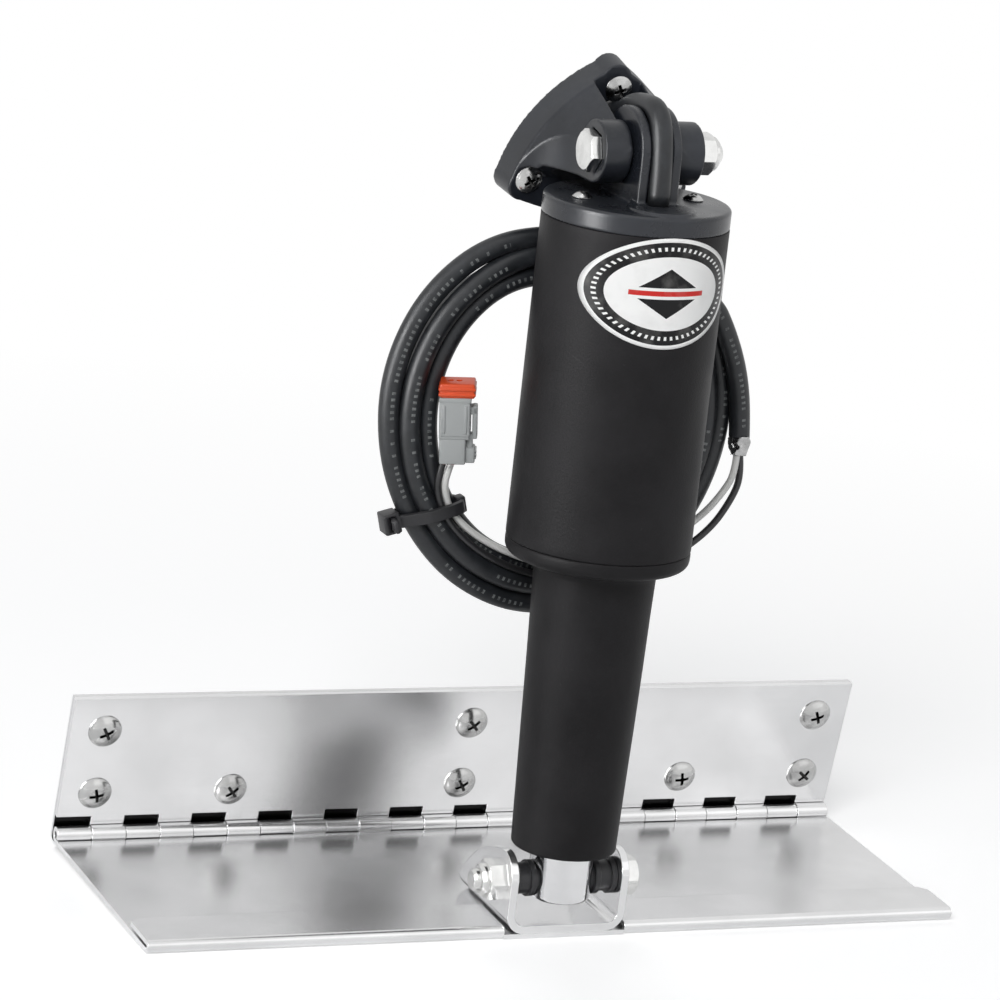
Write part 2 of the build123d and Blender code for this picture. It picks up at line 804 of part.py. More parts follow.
def bracket_outline(scale=1.0):
    side = bracket_half_width * scale
    top = bracket_top * scale
    low = -bracket_bottom * scale
    corner = (side * 0.86, -31.2 * scale)
    shoulder = (side, -23.5 * scale)
    cheek = (side * 0.76, -3.4 * scale)
    brow = (5.0 * scale, 16.3 * scale)

    def right(point):
        return (point[0], 0, point[1])

    def left(point):
        return (-point[0], 0, point[1])

    return make_face([
        ThreePointArc(left(corner), (0, 0, low), right(corner)),
        ThreePointArc(right(corner), (side * 0.985, 0, -29.0 * scale), right(shoulder)),
        ThreePointArc(right(shoulder), right(cheek), right(brow)),
        ThreePointArc(right(brow), (0, 0, top), left(brow)),
        ThreePointArc(left(brow), left(cheek), left(shoulder)),
        ThreePointArc(left(shoulder), (-side * 0.985, 0, -29.0 * scale), left(corner))])


bracket_screw_places = [(0, bracket_screw_high), (-bracket_screw_side, -bracket_screw_low),
                        (bracket_screw_side, -bracket_screw_low)]
bracket_front = bracket_back - bracket_base


def flare_outline():
    # from the nose of an ear along its outside and out to the rim of the base
    rim_x = 0.95 * bracket_half_width
    rim_y = bracket_front + 0.5
    run = Vector(rim_x - ear_outer, rim_y - scoop_start)
    hollow = Vector(ear_outer, scoop_start) + run / 2 + Vector(-run.Y, run.X).normalized() * scoop_depth

    def scoop(hand):
        return ThreePointArc((hand * ear_outer, scoop_start, 0), (hand * hollow.X, hollow.Y, 0),
                             (hand * rim_x, rim_y, 0))

    back = bracket_back - 1
    return make_face([
        Line((ear_outer, -20, 0), (ear_outer, scoop_start, 0)), scoop(1),
        Line((rim_x, rim_y, 0), (rim_x, back, 0)), Line((rim_x, back, 0), (-rim_x, back, 0)),
        Line((-rim_x, back, 0), (-rim_x, rim_y, 0)), scoop(-1),
        Line((-ear_outer, scoop_start, 0), (-ear_outer, -20, 0)), Line((-ear_outer, -20, 0), (ear_outer, -20, 0))])


def upper_bracket():
    # front view: rounded triangle, drawn in towards the nose
    back_face = bracket_outline().moved(Location((0, bracket_back, 0)))
    rim_face = bracket_outline(0.97).moved(Location((0, bracket_front - 2, 0)))
    base = loft([back_face, rim_face])
    base &= block(-60, 60, bracket_front, bracket_back, -60, 60)
    nose_face = bracket_outline(0.62).moved(Location((0, -ear_nose - 4, -1.5)))
    horn = loft([bracket_outline(0.97).moved(Location((0, bracket_front + 1, 0))), nose_face])
    # side view: the ears run forward and round off about the pivot
    profile = make_face([
        Line((0, bracket_back - 1, 21), (0, 16, 18.5)),
        Line((0, 16, 18.5), (0, 2.5, 12.6)),
        ThreePointArc((0, 2.5, 12.6), (0, -ear_nose, 1.5), (0, -3.0, -ear_nose)),
        Line((0, -3.0, -ear_nose), (0, bracket_front - 5, -ear_nose - 5)),
        Line((0, bracket_front - 5, -ear_nose - 5), (0, bracket_back - 1, -36)),
        Line((0, bracket_back - 1, -36), (0, bracket_back - 1, 21))])
    side = extrude(profile, amount=90, dir=(1, 0, 0)).moved(Location((-45, 0, 0)))
    # top view: the ears run into the base in a hollow curve
    top = extrude(flare_outline(), amount=90).moved(Location((0, 0, -45)))
    body = base + (horn & side & top)
    boss = rod_x(ear_nose, -ear_outer, ear_outer)
    body += boss & top
    # gap between the ears
    body -= block(-ear_inner, ear_inner, -40, bracket_front + 2.0, -60, 60)
    # pockets in front of the three screw heads
    for x, z in bracket_screw_places:
        pocket_radius = bracket_head_radius + bracket_pocket_play
        pocket = rod_y(pocket_radius, -30, bracket_front + 0.01, x, z)
        mouth = rod_y(pocket_radius, -30, bracket_front + 0.01, x * 0.9, z - (0 if x == 0 else 4))
        body -= pocket + mouth
        body -= rod_y(screw_neck_radius + screw_hole_play, 0, bracket_back + 1, x, z)
    # cable way through the base
    body -= rod_y(cable_radius + 1.9, 0, bracket_back + 1, 0, 0.3)
    # relief round the top of the housing, down to the lowest tilt of the bracket
    for tilt in (bracket_tilt_low, bracket_tilt_low / 2, 0.0):
        relief = rod_z(housing_radius + 1.0, -60, cap_top_level - upper_pivot_level + 1.0)
        body -= turn_x(relief, -leaf_rake - tilt)
    # hex pocket for the bolt head and a flat for the nut
    body -= hexagon_x(hex_flats + 0.6, -ear_outer - 6, -ear_outer + 1.7)
    body -= rod_x(bolt_hole, -40, 40)
    # relief so the base clears the eye
    body -= rod_x(eye_radius + 4.5, -ear_inner, ear_inner)
    return on_bracket(body)


def upper_hardware():
    bolt = pivot_bolt(-ear_outer + 1.7, ear_outer + nut_hex_height + nut_collar_height + 1.2)
    nut = lock_nut(ear_outer)
    spacer = bushing(eye_half_width + 0.1, ear_inner - 0.1, 0.5)
    save(on_bracket(bolt), "upper_bolt")
    save(on_bracket(nut), "upper_nut")
    centre = Location((0, pivot_y, upper_pivot_z))
    save([spacer.moved(centre), flip_x(spacer).moved(centre)], "upper_bushings")


def bracket_screws():
    screw = wood_screw(bracket_head_radius, bracket_head_height, screw_neck_radius, bracket_base,
                       bracket_thread_radius, bracket_thread_length, bracket_screw_point, 2.4)
    screw = screw.rotate(Axis.X, 90)
    return [on_bracket(screw.moved(Location((x, bracket_front, z)))) for x, z in bracket_screw_places]


save(upper_bracket(), "upper_bracket")
upper_hardware()
save(bracket_screws(), "bracket_screws")


# Cable: from the cap, over the eye, through the bracket and down to the coil

coil_ride = coil_outer - coil_radial / 2
coil_y = pivot_y + housing_radius + coil_gap + coil_axial / 2
ride_y = pivot_y - cable_ride
cap_z = pivot_z + cap_top_level

cable_route = [
    (0, ride_y, cap_z + 1.25),
    (0, ride_y, upper_pivot_z + cable_ride),
    (0, pivot_y + 9.0, upper_pivot_z + cable_ride),
    (0, pivot_y + 23.0, upper_pivot_z + 7.3),
    (0, pivot_y + 49.0, upper_pivot_z + 7.0),
    (4, pivot_y + 62.0, upper_pivot_z - 12.0),
    (14, pivot_y + 57.5, upper_pivot_z - 33.5),
    (30, coil_y + 10.0, upper_pivot_z - 46.5),
    (43, coil_y + 2.0, upper_pivot_z - 58.5)]


def bend_radii(points, first=None):
    turns = []
    runs = [Vector(*after) - Vector(*before) for before, after in zip(points, points[1:])]
    cuts = []
    for run_in, run_out in zip(runs, runs[1:]):
        turns.append(tan(radians(run_in.get_angle(run_out)) / 2))
        cuts.append(0.45 * min(run_in.length, run_out.length))
    if first is not None:
        # the first bend is the size of the eye, and the next takes what is left of their run
        cuts[0] = first * turns[0]
        cuts[1] = min(cuts[1], runs[1].length - cuts[0] - 0.2)
    return [cut / turn for cut, turn in zip(cuts, turns)]


def tube(points, radius, name, first=None):
    radii = bend_radii(points, first)
    print(name, "bend radii", [round(r, 1) for r in radii])
    path = FilletPolyline(*points, radius=radii)
    start = Vector(*points[1]) - Vector(*points[0])
    plane = Plane(origin=points[0], z_dir=start)
    body = sweep(plane * Circle(radius), path=path)
    ratio = body.volume / (pi * radius ** 2 * path.length)
    print(name, "length", round(path.length, 1), "volume ratio", round(ratio, 4))
    return body


def section_place(angle):
    turn = radians(angle)
    return Location((coil_x + coil_ride * cos(turn), coil_y, coil_z + coil_ride * sin(turn)))


def cable_coil():
    section = Plane.XY * Ellipse(coil_radial / 2, coil_axial / 2)
    section = section.moved(Location((coil_x + coil_ride, coil_y, coil_z)))
    axis = Axis((coil_x, coil_y, coil_z), (0, 1, 0))
    return revolve(section, axis, 360)


def cable_tie():
    outer = Plane.XY * Ellipse(coil_radial / 2 + tie_thickness, coil_axial / 2 + tie_thickness)
    inner = Plane.XY * Ellipse(coil_radial / 2 + 0.05, coil_axial / 2 + 0.05)
    band = extrude(outer - inner, amount=tie_width / 2, both=True)
    head = block(coil_radial / 2 + 0.6, coil_radial / 2 + 6.0, -3.4, 3.4, -tie_width / 2 - 1, tie_width / 2 + 1)
    tail = block(coil_radial / 2 + 2.0, coil_radial / 2 + 3.4, 3.4, 9.0, -tie_width / 2, tie_width / 2)
    body = (band + head + tail).rotate(Axis.Y, -tie_angle)
    return body.moved(section_place(tie_angle))


def cable_lead():
    return tube(cable_route, cable_radius, "cable_lead", first=cable_ride) - cable_coil()


save(cable_lead(), "cable_lead")
save(cable_coil(), "cable_coil")
save(cable_tie(), "cable_tie")


# Stripped end: shrink sleeve, two conductors and a two-way plug

jacket_end = (65.6, coil_y - 6.0, 168.0)
shrink_end = (64.0, coil_y - 11.6, 153.0)
plug_place = Pos(-43.1, coil_y - 12.0, 152.6) * Rot(0, -5.4, 0) * Rot(0, 0, -24.3)
plug_length = 31.0
plug_half_width = 6.2
plug_half_depth = 5.8
wire_spacing = 2.7
wire_radius = 1.25


def shrink_sleeve():
    direction = Vector(*shrink_end) - Vector(*jacket_end)
    plane = Plane(origin=jacket_end, z_dir=direction)
    return extrude(plane * Circle(cable_radius + 0.4), amount=direction.length) - cable_coil()


def conductor_route(side):
    # side is -1 for the inner conductor and 1 for the outer one
    shift = 1.5 * side
    into_plug = (plug_place * Pos(-wire_spacing * side, 0, 0)).position
    below_plug = (plug_place * Pos(-wire_spacing * side, 0, -15)).position
    return [
        (shrink_end[0] + shift, shrink_end[1], shrink_end[2]),
        (shrink_end[0] - 1.5 + shift, coil_y - 12.0, 143.5),
        (54 + shift, coil_y - 10.6, 131 - shift),
        (36 + shift, coil_y - 9.4, 121.5 - shift),
        (16, coil_y - 9.0, 117 - shift),
        (-6, coil_y - 9.4, 117 - shift),
        (-26 - shift, coil_y - 11.0, 123.5 - shift),
        (below_plug.X + 2.5, below_plug.Y, below_plug.Z),
        (into_plug.X, into_plug.Y, into_plug.Z)]


def plug_block(half_width, half_depth, low, high):
    return block(-half_width, half_width, -half_depth, half_depth, low, high)


def plug_body():
    wedge_low = plug_length - 5
    low = plug_block(plug_half_width - 1, plug_half_depth - 1, 0, 12)
    low = fillet(low.edges().filter_by(Axis.Z), 1.5)
    high = plug_block(plug_half_width, plug_half_depth, 12, wedge_low)
    high = fillet(high.edges().filter_by(Axis.Z), 1.8)
    latch_x = plug_half_width + 3.1
    latch = block(latch_x - 2, latch_x, -2.6, 2.6, 7, plug_length - 3)
    latch += block(plug_half_width - 0.6, latch_x, -2.6, 2.6, 14, 18)
    body = low + high + latch
    for side in (-1, 1):
        body -= rod_z(wire_radius + 0.25, -1, 4, wire_spacing * side, 0)
    return plug_place * body


def plug_wedge():
    body = plug_block(plug_half_width - 1, plug_half_depth - 1, plug_length - 4.95, plug_length)
    body = chamfer(body.faces().sort_by(Axis.Z)[-1].edges(), 0.8)
    for side in (-1, 1):
        body -= rod_z(1.1, plug_length - 4, plug_length + 1, 2.6 * side, 0)
    return plug_place * body


def plug_seals():
    seal = ring_z(wire_radius + 0.25, wire_radius + 0.05, 0.02, 4.0)
    return [plug_place * seal.moved(Location((wire_spacing * side, 0, 0))) for side in (-1, 1)]


save(shrink_sleeve(), "shrink_sleeve")
save([tube(conductor_route(side), wire_radius, "conductor") for side in (-1, 1)], "conductors")
save(plug_body(), "plug_body")
save(plug_wedge(), "plug_wedge")
save(plug_seals(), "plug_seals")

print("floor", round(floor_z, 2), "lower pivot", round(pivot_y, 3), round(pivot_z, 3), "upper pivot z", round(upper_pivot_z, 3))
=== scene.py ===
from math import acos, atan2, cos, pi, radians, sin, sqrt

import bmesh
import bpy
from mathutils import Matrix, Vector, noise


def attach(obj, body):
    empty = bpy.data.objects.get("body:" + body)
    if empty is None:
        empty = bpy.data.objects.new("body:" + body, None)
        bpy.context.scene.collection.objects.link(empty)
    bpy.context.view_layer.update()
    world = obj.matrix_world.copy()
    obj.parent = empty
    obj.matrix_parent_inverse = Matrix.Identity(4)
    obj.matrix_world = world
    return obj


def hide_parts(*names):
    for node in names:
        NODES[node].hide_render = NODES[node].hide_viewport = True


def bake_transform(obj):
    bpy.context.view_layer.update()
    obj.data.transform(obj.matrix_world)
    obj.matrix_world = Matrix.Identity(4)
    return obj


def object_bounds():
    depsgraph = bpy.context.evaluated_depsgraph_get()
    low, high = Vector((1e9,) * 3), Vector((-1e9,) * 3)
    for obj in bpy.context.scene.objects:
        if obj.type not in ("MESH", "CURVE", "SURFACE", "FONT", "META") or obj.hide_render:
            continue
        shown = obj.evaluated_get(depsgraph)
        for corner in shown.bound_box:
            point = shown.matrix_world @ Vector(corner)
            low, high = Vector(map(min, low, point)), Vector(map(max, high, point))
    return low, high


bl_info = {
    "name": "Boat trim tab",
    "version": (1, 0, 0),
    "blender": (4, 5, 0),
    "location": "View3D > Sidebar > Trim tab",
    "description": "Dresses the packed boat trim tab with its finishes, screws, cable and plug",
    "category": "Object",
}

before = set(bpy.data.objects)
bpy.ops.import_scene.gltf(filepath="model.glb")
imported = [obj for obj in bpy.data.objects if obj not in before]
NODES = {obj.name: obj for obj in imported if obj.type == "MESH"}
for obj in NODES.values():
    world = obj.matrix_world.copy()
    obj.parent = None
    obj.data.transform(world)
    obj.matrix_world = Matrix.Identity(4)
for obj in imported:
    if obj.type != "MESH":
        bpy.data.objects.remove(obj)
CAD_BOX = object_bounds()
MM = 0.001

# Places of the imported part, in millimetres: the lower and the upper pivot
PIVOT_Y = -94.704
LOWER_Z = 13.161
UPPER_Z = 269.461
LEAF_RAKE = radians(11.3)
COIL_CENTRE = Vector((-3.0, -55.304, 169.6))
COIL_RIDE = (56.2, 60.0)
PLUG_AT = Vector((-43.1, -67.304, 152.6))
# Shared sizes in millimetres
HOUSING_RADIUS = 31.8
RAM_RADIUS = 11.1
LABEL_HALF = (26.6, 18.8)
LABEL_LEVEL = 215.0


# ---------------------------------------------------------------- small tools

def link(obj):
    bpy.context.scene.collection.objects.link(obj)
    return obj


def new_mesh_object(name, bm, smooth=True):
    """Turn a bmesh into a linked object; the bmesh is freed."""
    mesh = bpy.data.meshes.new(name)
    bm.to_mesh(mesh)
    bm.free()
    for poly in mesh.polygons:
        poly.use_smooth = smooth
    return link(bpy.data.objects.new(name, mesh))


def closed_mesh(name, bm, smooth=True):
    """The same, with every face turned outwards first."""
    bmesh.ops.recalc_face_normals(bm, faces=bm.faces)
    return new_mesh_object(name, bm, smooth)


def apply_modifiers(obj):
    """Replace the object's mesh by its evaluated one and drop the modifiers."""
    graph = bpy.context.evaluated_depsgraph_get()
    mesh = bpy.data.meshes.new_from_object(obj.evaluated_get(graph))
    old = obj.data
    obj.modifiers.clear()
    obj.data = mesh
    bpy.data.meshes.remove(old)
    mesh.name = obj.name
    return obj


def drop(*objs):
    for obj in objs:
        data = obj.data
        store = bpy.data.curves if obj.type == "CURVE" else bpy.data.meshes
        bpy.data.objects.remove(obj)
        store.remove(data)


def soften(obj, width, segments=3):
    """Round the sharp edges by a bevel, in millimetres, and keep it as geometry."""
    bevel = obj.modifiers.new("Rounded edges", "BEVEL")
    bevel.width = width * MM
    bevel.segments = segments
    bevel.limit_method = "ANGLE"
    bevel.angle_limit = radians(35)
    bevel.use_clamp_overlap = True
    return apply_modifiers(obj)


def smooth_by_angle(obj, angle=35):
    """Smooth shading with edges over the angle kept sharp."""
    obj.data.shade_smooth()
    mesh = obj.data
    bm = bmesh.new()
    bm.from_mesh(mesh)
    limit = radians(angle)
    for edge in bm.edges:
        edge.smooth = len(edge.link_faces) == 2 and edge.calc_face_angle(0) < limit
    bm.to_mesh(mesh)
    bm.free()
    return obj


def place(obj, matrix):
    """Move the mesh itself, so that the object stays at the origin."""
    obj.data.transform(matrix)
    if matrix.determinant() < 0:
        obj.data.flip_normals()
    return obj


def joined(name, objs):
    """One object from several, keeping their materials."""
    bm = bmesh.new()
    materials = []
    for obj in objs:
        offset = {}
        for index, slot in enumerate(obj.data.materials):
            if slot not in materials:
                materials.append(slot)
            offset[index] = materials.index(slot)
        start = len(bm.faces)
        bm.from_mesh(obj.data)
        bm.faces.ensure_lookup_table()
        for face in bm.faces[start:]:
            face.material_index = offset.get(face.material_index, 0)
    mesh = bpy.data.meshes.new(name)
    bm.to_mesh(mesh)
    bm.free()
    for material in materials:
        mesh.materials.append(material)
    drop(*objs)
    return link(bpy.data.objects.new(name, mesh))


def boolean(obj, cutter, operation="DIFFERENCE"):
    cut = obj.modifiers.new("Cut", "BOOLEAN")
    cut.object = cutter
    cut.operation = operation
    cut.solver = "EXACT"
    apply_modifiers(obj)
    drop(cutter)
    return obj


# ---------------------------------------------------------------- shapes

def bridge(bm, low, high):
    """Faces between two rings of as many corners each."""
    count = len(low)
    for corner in range(count):
        after = (corner + 1) % count
        bm.faces.new((low[corner], high[corner], high[after], low[after]))


def turned(name, profile, segments=128, wobble=None):
    """A closed outline of (radius, height) pairs in millimetres, turned about Z."""
    bm = bmesh.new()
    rings = []
    for radius, height in profile:
        if radius < 1e-6:
            rings.append([bm.verts.new((0, 0, height * MM))])
            continue
        ring = []
        for step in range(segments):
            turn = 2 * pi * step / segments
            r = radius + (wobble(radius, height, turn) if wobble else 0.0)
            ring.append(bm.verts.new((r * cos(turn) * MM, r * sin(turn) * MM, height * MM)))
        rings.append(ring)
    count = len(rings)
    for index in range(count):
        low, high = rings[index], rings[(index + 1) % count]
        if len(low) == 1 and len(high) == 1:
            continue
        for step in range(segments):
            after = (step + 1) % segments
            if len(low) == 1:
                bm.faces.new((low[0], high[after], high[step]))
            elif len(high) == 1:
                bm.faces.new((low[step], low[after], high[0]))
            else:
                bm.faces.new((low[step], low[after], high[after], high[step]))
    return closed_mesh(name, bm)


def arc_points(centre, radius, start, end, steps):
    """Points of an arc in a profile; angles in degrees."""
    points = []
    for step in range(steps + 1):
        turn = radians(start + (end - start) * step / steps)
        points.append((centre[0] + radius * cos(turn), centre[1] + radius * sin(turn)))
    return points


def straight(start, end, count):
    """The points after the start of a straight stretch of an outline, up to its end."""
    return [tuple(a + (b - a) * index / count for a, b in zip(start, end)) for index in range(1, count + 1)]


def prism(name, outline, low, high):
    """A closed outline of (x, y) pairs in millimetres, raised from low to high along Z."""
    bm = bmesh.new()
    bottom = [bm.verts.new((x * MM, y * MM, low * MM)) for x, y in outline]
    top = [bm.verts.new((x * MM, y * MM, high * MM)) for x, y in outline]
    bm.faces.new(bottom[::-1])
    bm.faces.new(top)
    bridge(bm, bottom, top)
    return closed_mesh(name, bm, smooth=False)


def rounded_box(name, x, y, z, edge, segments=3):
    """A box between pairs of coordinates with rounded edges."""
    outline = [(x[0], y[0]), (x[1], y[0]), (x[1], y[1]), (x[0], y[1])]
    box = prism(name, outline, z[0], z[1])
    soften(box, edge, segments)
    return smooth_by_angle(box, 40)


def smoothed_route(points, resolution=12):
    """Points along a smooth NURBS line of order 3 through a cord's route."""
    curve = bpy.data.curves.new("route", "CURVE")
    curve.dimensions = "3D"
    curve.resolution_u = resolution
    spline = curve.splines.new("NURBS")
    spline.points.add(len(points) - 1)
    for knot, point in zip(spline.points, points):
        knot.co = (point[0] * MM, point[1] * MM, point[2] * MM, 1.0)
    spline.order_u = 3
    spline.use_endpoint_u = True
    obj = link(bpy.data.objects.new("route", curve))
    mesh = bpy.data.meshes.new_from_object(obj)
    line = [vertex.co.copy() for vertex in mesh.vertices]
    bpy.data.meshes.remove(mesh)
    drop(obj)
    return line


def swept(name, line, radius, sides=20, facing=Vector((0, -1, 0)), radius_at=None):
    """A closed tube along a line in metres, with its length in metres as the V of its UV map."""
    bm = bmesh.new()
    uv = bm.loops.layers.uv.new("Along")
    count = len(line)
    normal = facing
    rings, lengths = [], []
    run = 0.0
    for index, point in enumerate(line):
        before = line[max(index - 1, 0)]
        after = line[min(index + 1, count - 1)]
        tangent = (after - before).normalized()
        normal = (normal - tangent * normal.dot(tangent)).normalized()
        side = tangent.cross(normal)
        if index:
            run += (point - line[index - 1]).length
        lengths.append(run)
        r = radius * MM * (radius_at(run) if radius_at else 1.0)
        ring = []
        for step in range(sides):
            turn = 2 * pi * step / sides
            ring.append(bm.verts.new(point + (normal * cos(turn) + side * sin(turn)) * r))
        rings.append(ring)
    for index in range(count - 1):
        for step in range(sides):
            after = (step + 1) % sides
            face = bm.faces.new((rings[index][step], rings[index][after],
                                 rings[index + 1][after], rings[index + 1][step]))
            corners = ((step, index), (step + 1, index), (step + 1, index + 1), (step, index + 1))
            for loop, (around, along) in zip(face.loops, corners):
                loop[uv].uv = (around / sides, lengths[along])
    bm.faces.new(rings[0][::-1])
    bm.faces.new(rings[-1])
    return closed_mesh(name, bm)


def line_length(line):
    return sum((b - a).length for a, b in zip(line, line[1:]))


def leaf_matrix(x, out, up):
    """A place on the transom leaf: x across, out through the sheet, up along it; Z looks out of the leaf."""
    turn = Matrix.Rotation(LEAF_RAKE, 4, "X")
    return turn @ Matrix.Translation(Vector((x, out, up)) * MM) @ Matrix.Rotation(radians(90), 4, "X")


def bracket_matrix(x, out, up):
    """The same on the upper bracket, counted from the upper pivot."""
    centre = Matrix.Translation(Vector((0, PIVOT_Y, UPPER_Z)) * MM)
    return centre @ leaf_matrix(x, out, up)


def copy_of(name, *nodes):
    """A merged copy of the meshes of CAD nodes."""
    bm = bmesh.new()
    for node in nodes:
        bm.from_mesh(NODES[node].data)
    bmesh.ops.remove_doubles(bm, verts=bm.verts, dist=1e-6)
    return new_mesh_object(name, bm)


def moulded(name, obj, voxel, rounds):
    """Remesh to small even faces and smooth, which rounds the edges as a mould does."""
    remesh = obj.modifiers.new("Even faces", "REMESH")
    remesh.mode = "VOXEL"
    remesh.voxel_size = voxel * MM
    remesh.use_smooth_shade = True
    smooth = obj.modifiers.new("Rounded edges", "SMOOTH")
    smooth.factor = 0.5
    smooth.iterations = rounds
    apply_modifiers(obj)
    obj.name = name
    obj.data.shade_smooth()
    return obj


# ---------------------------------------------------------------- shader tools

def feed(tree, node, inputs):
    """Link or set a node's inputs, by name or by number."""
    for key, value in inputs.items():
        if isinstance(value, bpy.types.NodeSocket):
            tree.links.new(value, node.inputs[key])
        else:
            node.inputs[key].default_value = value
    return node


def add(tree, kind, inputs=None, **settings):
    """Add a shader node; inputs are values or sockets."""
    node = tree.nodes.new("ShaderNode" + kind)
    for key, value in settings.items():
        setattr(node, key, value)
    return feed(tree, node, inputs or {})


def math(tree, operation, a, b=0.0, c=0.0):
    return add(tree, "Math", {0: a, 1: b, 2: c}, operation=operation).outputs[0]


def times(tree, first, *others):
    for other in others:
        first = math(tree, "MULTIPLY", first, other)
    return first


def plus(tree, first, *others):
    for other in others:
        first = math(tree, "ADD", first, other)
    return first


def spread(tree, value, low, high, out_low, out_high):
    """Map a value from one range to another, clamped."""
    return add(tree, "MapRange", {"Value": value, "From Min": low, "From Max": high,
                                  "To Min": out_low, "To Max": out_high}).outputs["Result"]


def mix_colour(tree, factor, a, b):
    a, b = (c if isinstance(c, bpy.types.NodeSocket) else (*c[:3], 1.0) for c in (a, b))
    return add(tree, "Mix", {0: factor, 6: a, 7: b}, data_type="RGBA").outputs[2]


def noise_at(tree, place_at, scale, detail, roughness=0.5):
    """The value of a noise texture."""
    return add(tree, "TexNoise", {"Vector": place_at, "Scale": scale, "Detail": detail,
                                  "Roughness": roughness}).outputs["Fac"]


def axes(tree, vector):
    """The X, Y and Z outputs of a vector."""
    return add(tree, "SeparateXYZ", {0: vector}).outputs


def emptied(data):
    """The node tree of a material or a world, without its nodes."""
    data.use_nodes = True
    data.node_tree.nodes.clear()
    return data.node_tree


def put_out(tree, kind, shader):
    """Link the last shader to a new output node."""
    tree.links.new(shader.outputs[0], tree.nodes.new("ShaderNodeOutput" + kind).inputs["Surface"])


def new_group(name, inputs, outputs):
    """A shader node group with named sockets; returns it with its input and output node."""
    tree = bpy.data.node_groups.new(name, "ShaderNodeTree")
    for label, kind, default in inputs:
        socket = tree.interface.new_socket(label, in_out="INPUT", socket_type="NodeSocket" + kind)
        if default is not None:
            socket.default_value = default
    for label, kind in outputs:
        tree.interface.new_socket(label, in_out="OUTPUT", socket_type="NodeSocket" + kind)
    entry = tree.nodes.new("NodeGroupInput")
    exit_node = tree.nodes.new("NodeGroupOutput")
    return tree, entry.outputs, exit_node.inputs


def use_group(tree, name, inputs):
    return add(tree, "Group", inputs, node_tree=GROUPS[name]).outputs


def build_groups():
    """The effects that several finishes share, each built once."""
    # long fine lines of a rolled or brushed sheet, with broad smudges
    tree, given, out = new_group("Rolled grain", [
        ("Vector", "Vector", None), ("Stretch", "Vector", (40.0, 3000.0, 3000.0)),
        ("Smudge Scale", "Float", 30.0)], [("Lines", "Float"), ("Smudges", "Float")])
    stretched = add(tree, "VectorMath", {0: given["Vector"], 1: given["Stretch"]}, operation="MULTIPLY")
    tree.links.new(noise_at(tree, stretched.outputs[0], 1.0, 3.0, 0.6), out["Lines"])
    tree.links.new(noise_at(tree, given["Vector"], given["Smudge Scale"], 4.0, 0.55), out["Smudges"])
    GROUPS["rolled"] = tree

    # spark-eroded mould texture: pebbles, finer noise and slow tone changes
    tree, given, out = new_group("Mould grain", [
        ("Vector", "Vector", None), ("Scale", "Float", 1500.0)], [("Height", "Float"), ("Tone", "Float")])
    pebbles = add(tree, "TexVoronoi", {"Vector": given["Vector"], "Scale": given["Scale"], "Randomness": 1.0},
                  feature="SMOOTH_F1")
    fine = noise_at(tree, given["Vector"], times(tree, given["Scale"], 1.7), 3.0, 0.6)
    tree.links.new(plus(tree, times(tree, pebbles.outputs["Distance"], 0.8), fine), out["Height"])
    tree.links.new(noise_at(tree, given["Vector"], 38.0, 5.0, 0.6), out["Tone"])
    GROUPS["mould"] = tree

    # how much an edge is worn or catches light: the rounded normal against the flat one
    tree, given, out = new_group("Edge mask", [
        ("Vector", "Vector", None), ("Radius", "Float", 0.0006), ("Break Up", "Float", 0.4)],
        [("Mask", "Float")])
    rounded = add(tree, "Bevel", {"Radius": given["Radius"]}, samples=6)
    flat = add(tree, "NewGeometry")
    dot = add(tree, "VectorMath", {0: rounded.outputs[0], 1: flat.outputs["Normal"]}, operation="DOT_PRODUCT")
    edge = spread(tree, dot.outputs["Value"], 0.99, 0.82, 0.0, 1.0)
    patches = noise_at(tree, given["Vector"], 420.0, 4.0)
    worn = spread(tree, patches, times(tree, given["Break Up"], 0.9), 0.75, 0.0, 1.0)
    tree.links.new(times(tree, edge, worn), out["Mask"])
    GROUPS["edge"] = tree

    # fine random scratches: thin bands of three crossed stretched noises
    tree, given, out = new_group("Fine scratches", [
        ("Vector", "Vector", None), ("Scale", "Float", 60.0), ("Sparse", "Float", 0.74)],
        [("Scratches", "Float")])
    total = None
    for turn, long_side in ((0.5, (1.0, 26.0, 5.0)), (-0.9, (22.0, 1.0, 6.0)), (2.1, (2.0, 9.0, 30.0))):
        across = add(tree, "VectorRotate", {"Vector": given["Vector"], "Angle": turn,
                                            "Axis": (0.3, 0.5, 1.0)})
        drawn = add(tree, "VectorMath", {0: across.outputs[0], 1: long_side}, operation="MULTIPLY")
        streak = noise_at(tree, drawn.outputs[0], given["Scale"], 2.0)
        thin = math(tree, "GREATER_THAN", streak, given["Sparse"])
        total = thin if total is None else math(tree, "MAXIMUM", total, thin)
    tree.links.new(total, out["Scratches"])
    GROUPS["scratches"] = tree

    # dust that settles on faces that look up
    tree, given, out = new_group("Settled dust", [
        ("Vector", "Vector", None), ("Amount", "Float", 0.3)], [("Dust", "Float")])
    up = axes(tree, add(tree, "NewGeometry").outputs["Normal"])["Z"]
    level = spread(tree, up, 0.35, 0.95, 0.0, 1.0)
    specks = noise_at(tree, given["Vector"], 240.0, 8.0, 0.75)
    patch = spread(tree, specks, 0.42, 0.68, 0.15, 1.0)
    tree.links.new(times(tree, level, patch, given["Amount"]), out["Dust"])
    GROUPS["dust"] = tree


GROUPS = {}
FINISHES = {}


def new_material(name):
    """An empty material with a Principled shader; returns it with its tree, shader and coordinates."""
    material = bpy.data.materials.new(name)
    tree = emptied(material)
    shader = tree.nodes.new("ShaderNodeBsdfPrincipled")
    put_out(tree, "Material", shader)
    return material, tree, shader, add(tree, "TexCoord").outputs["Object"]


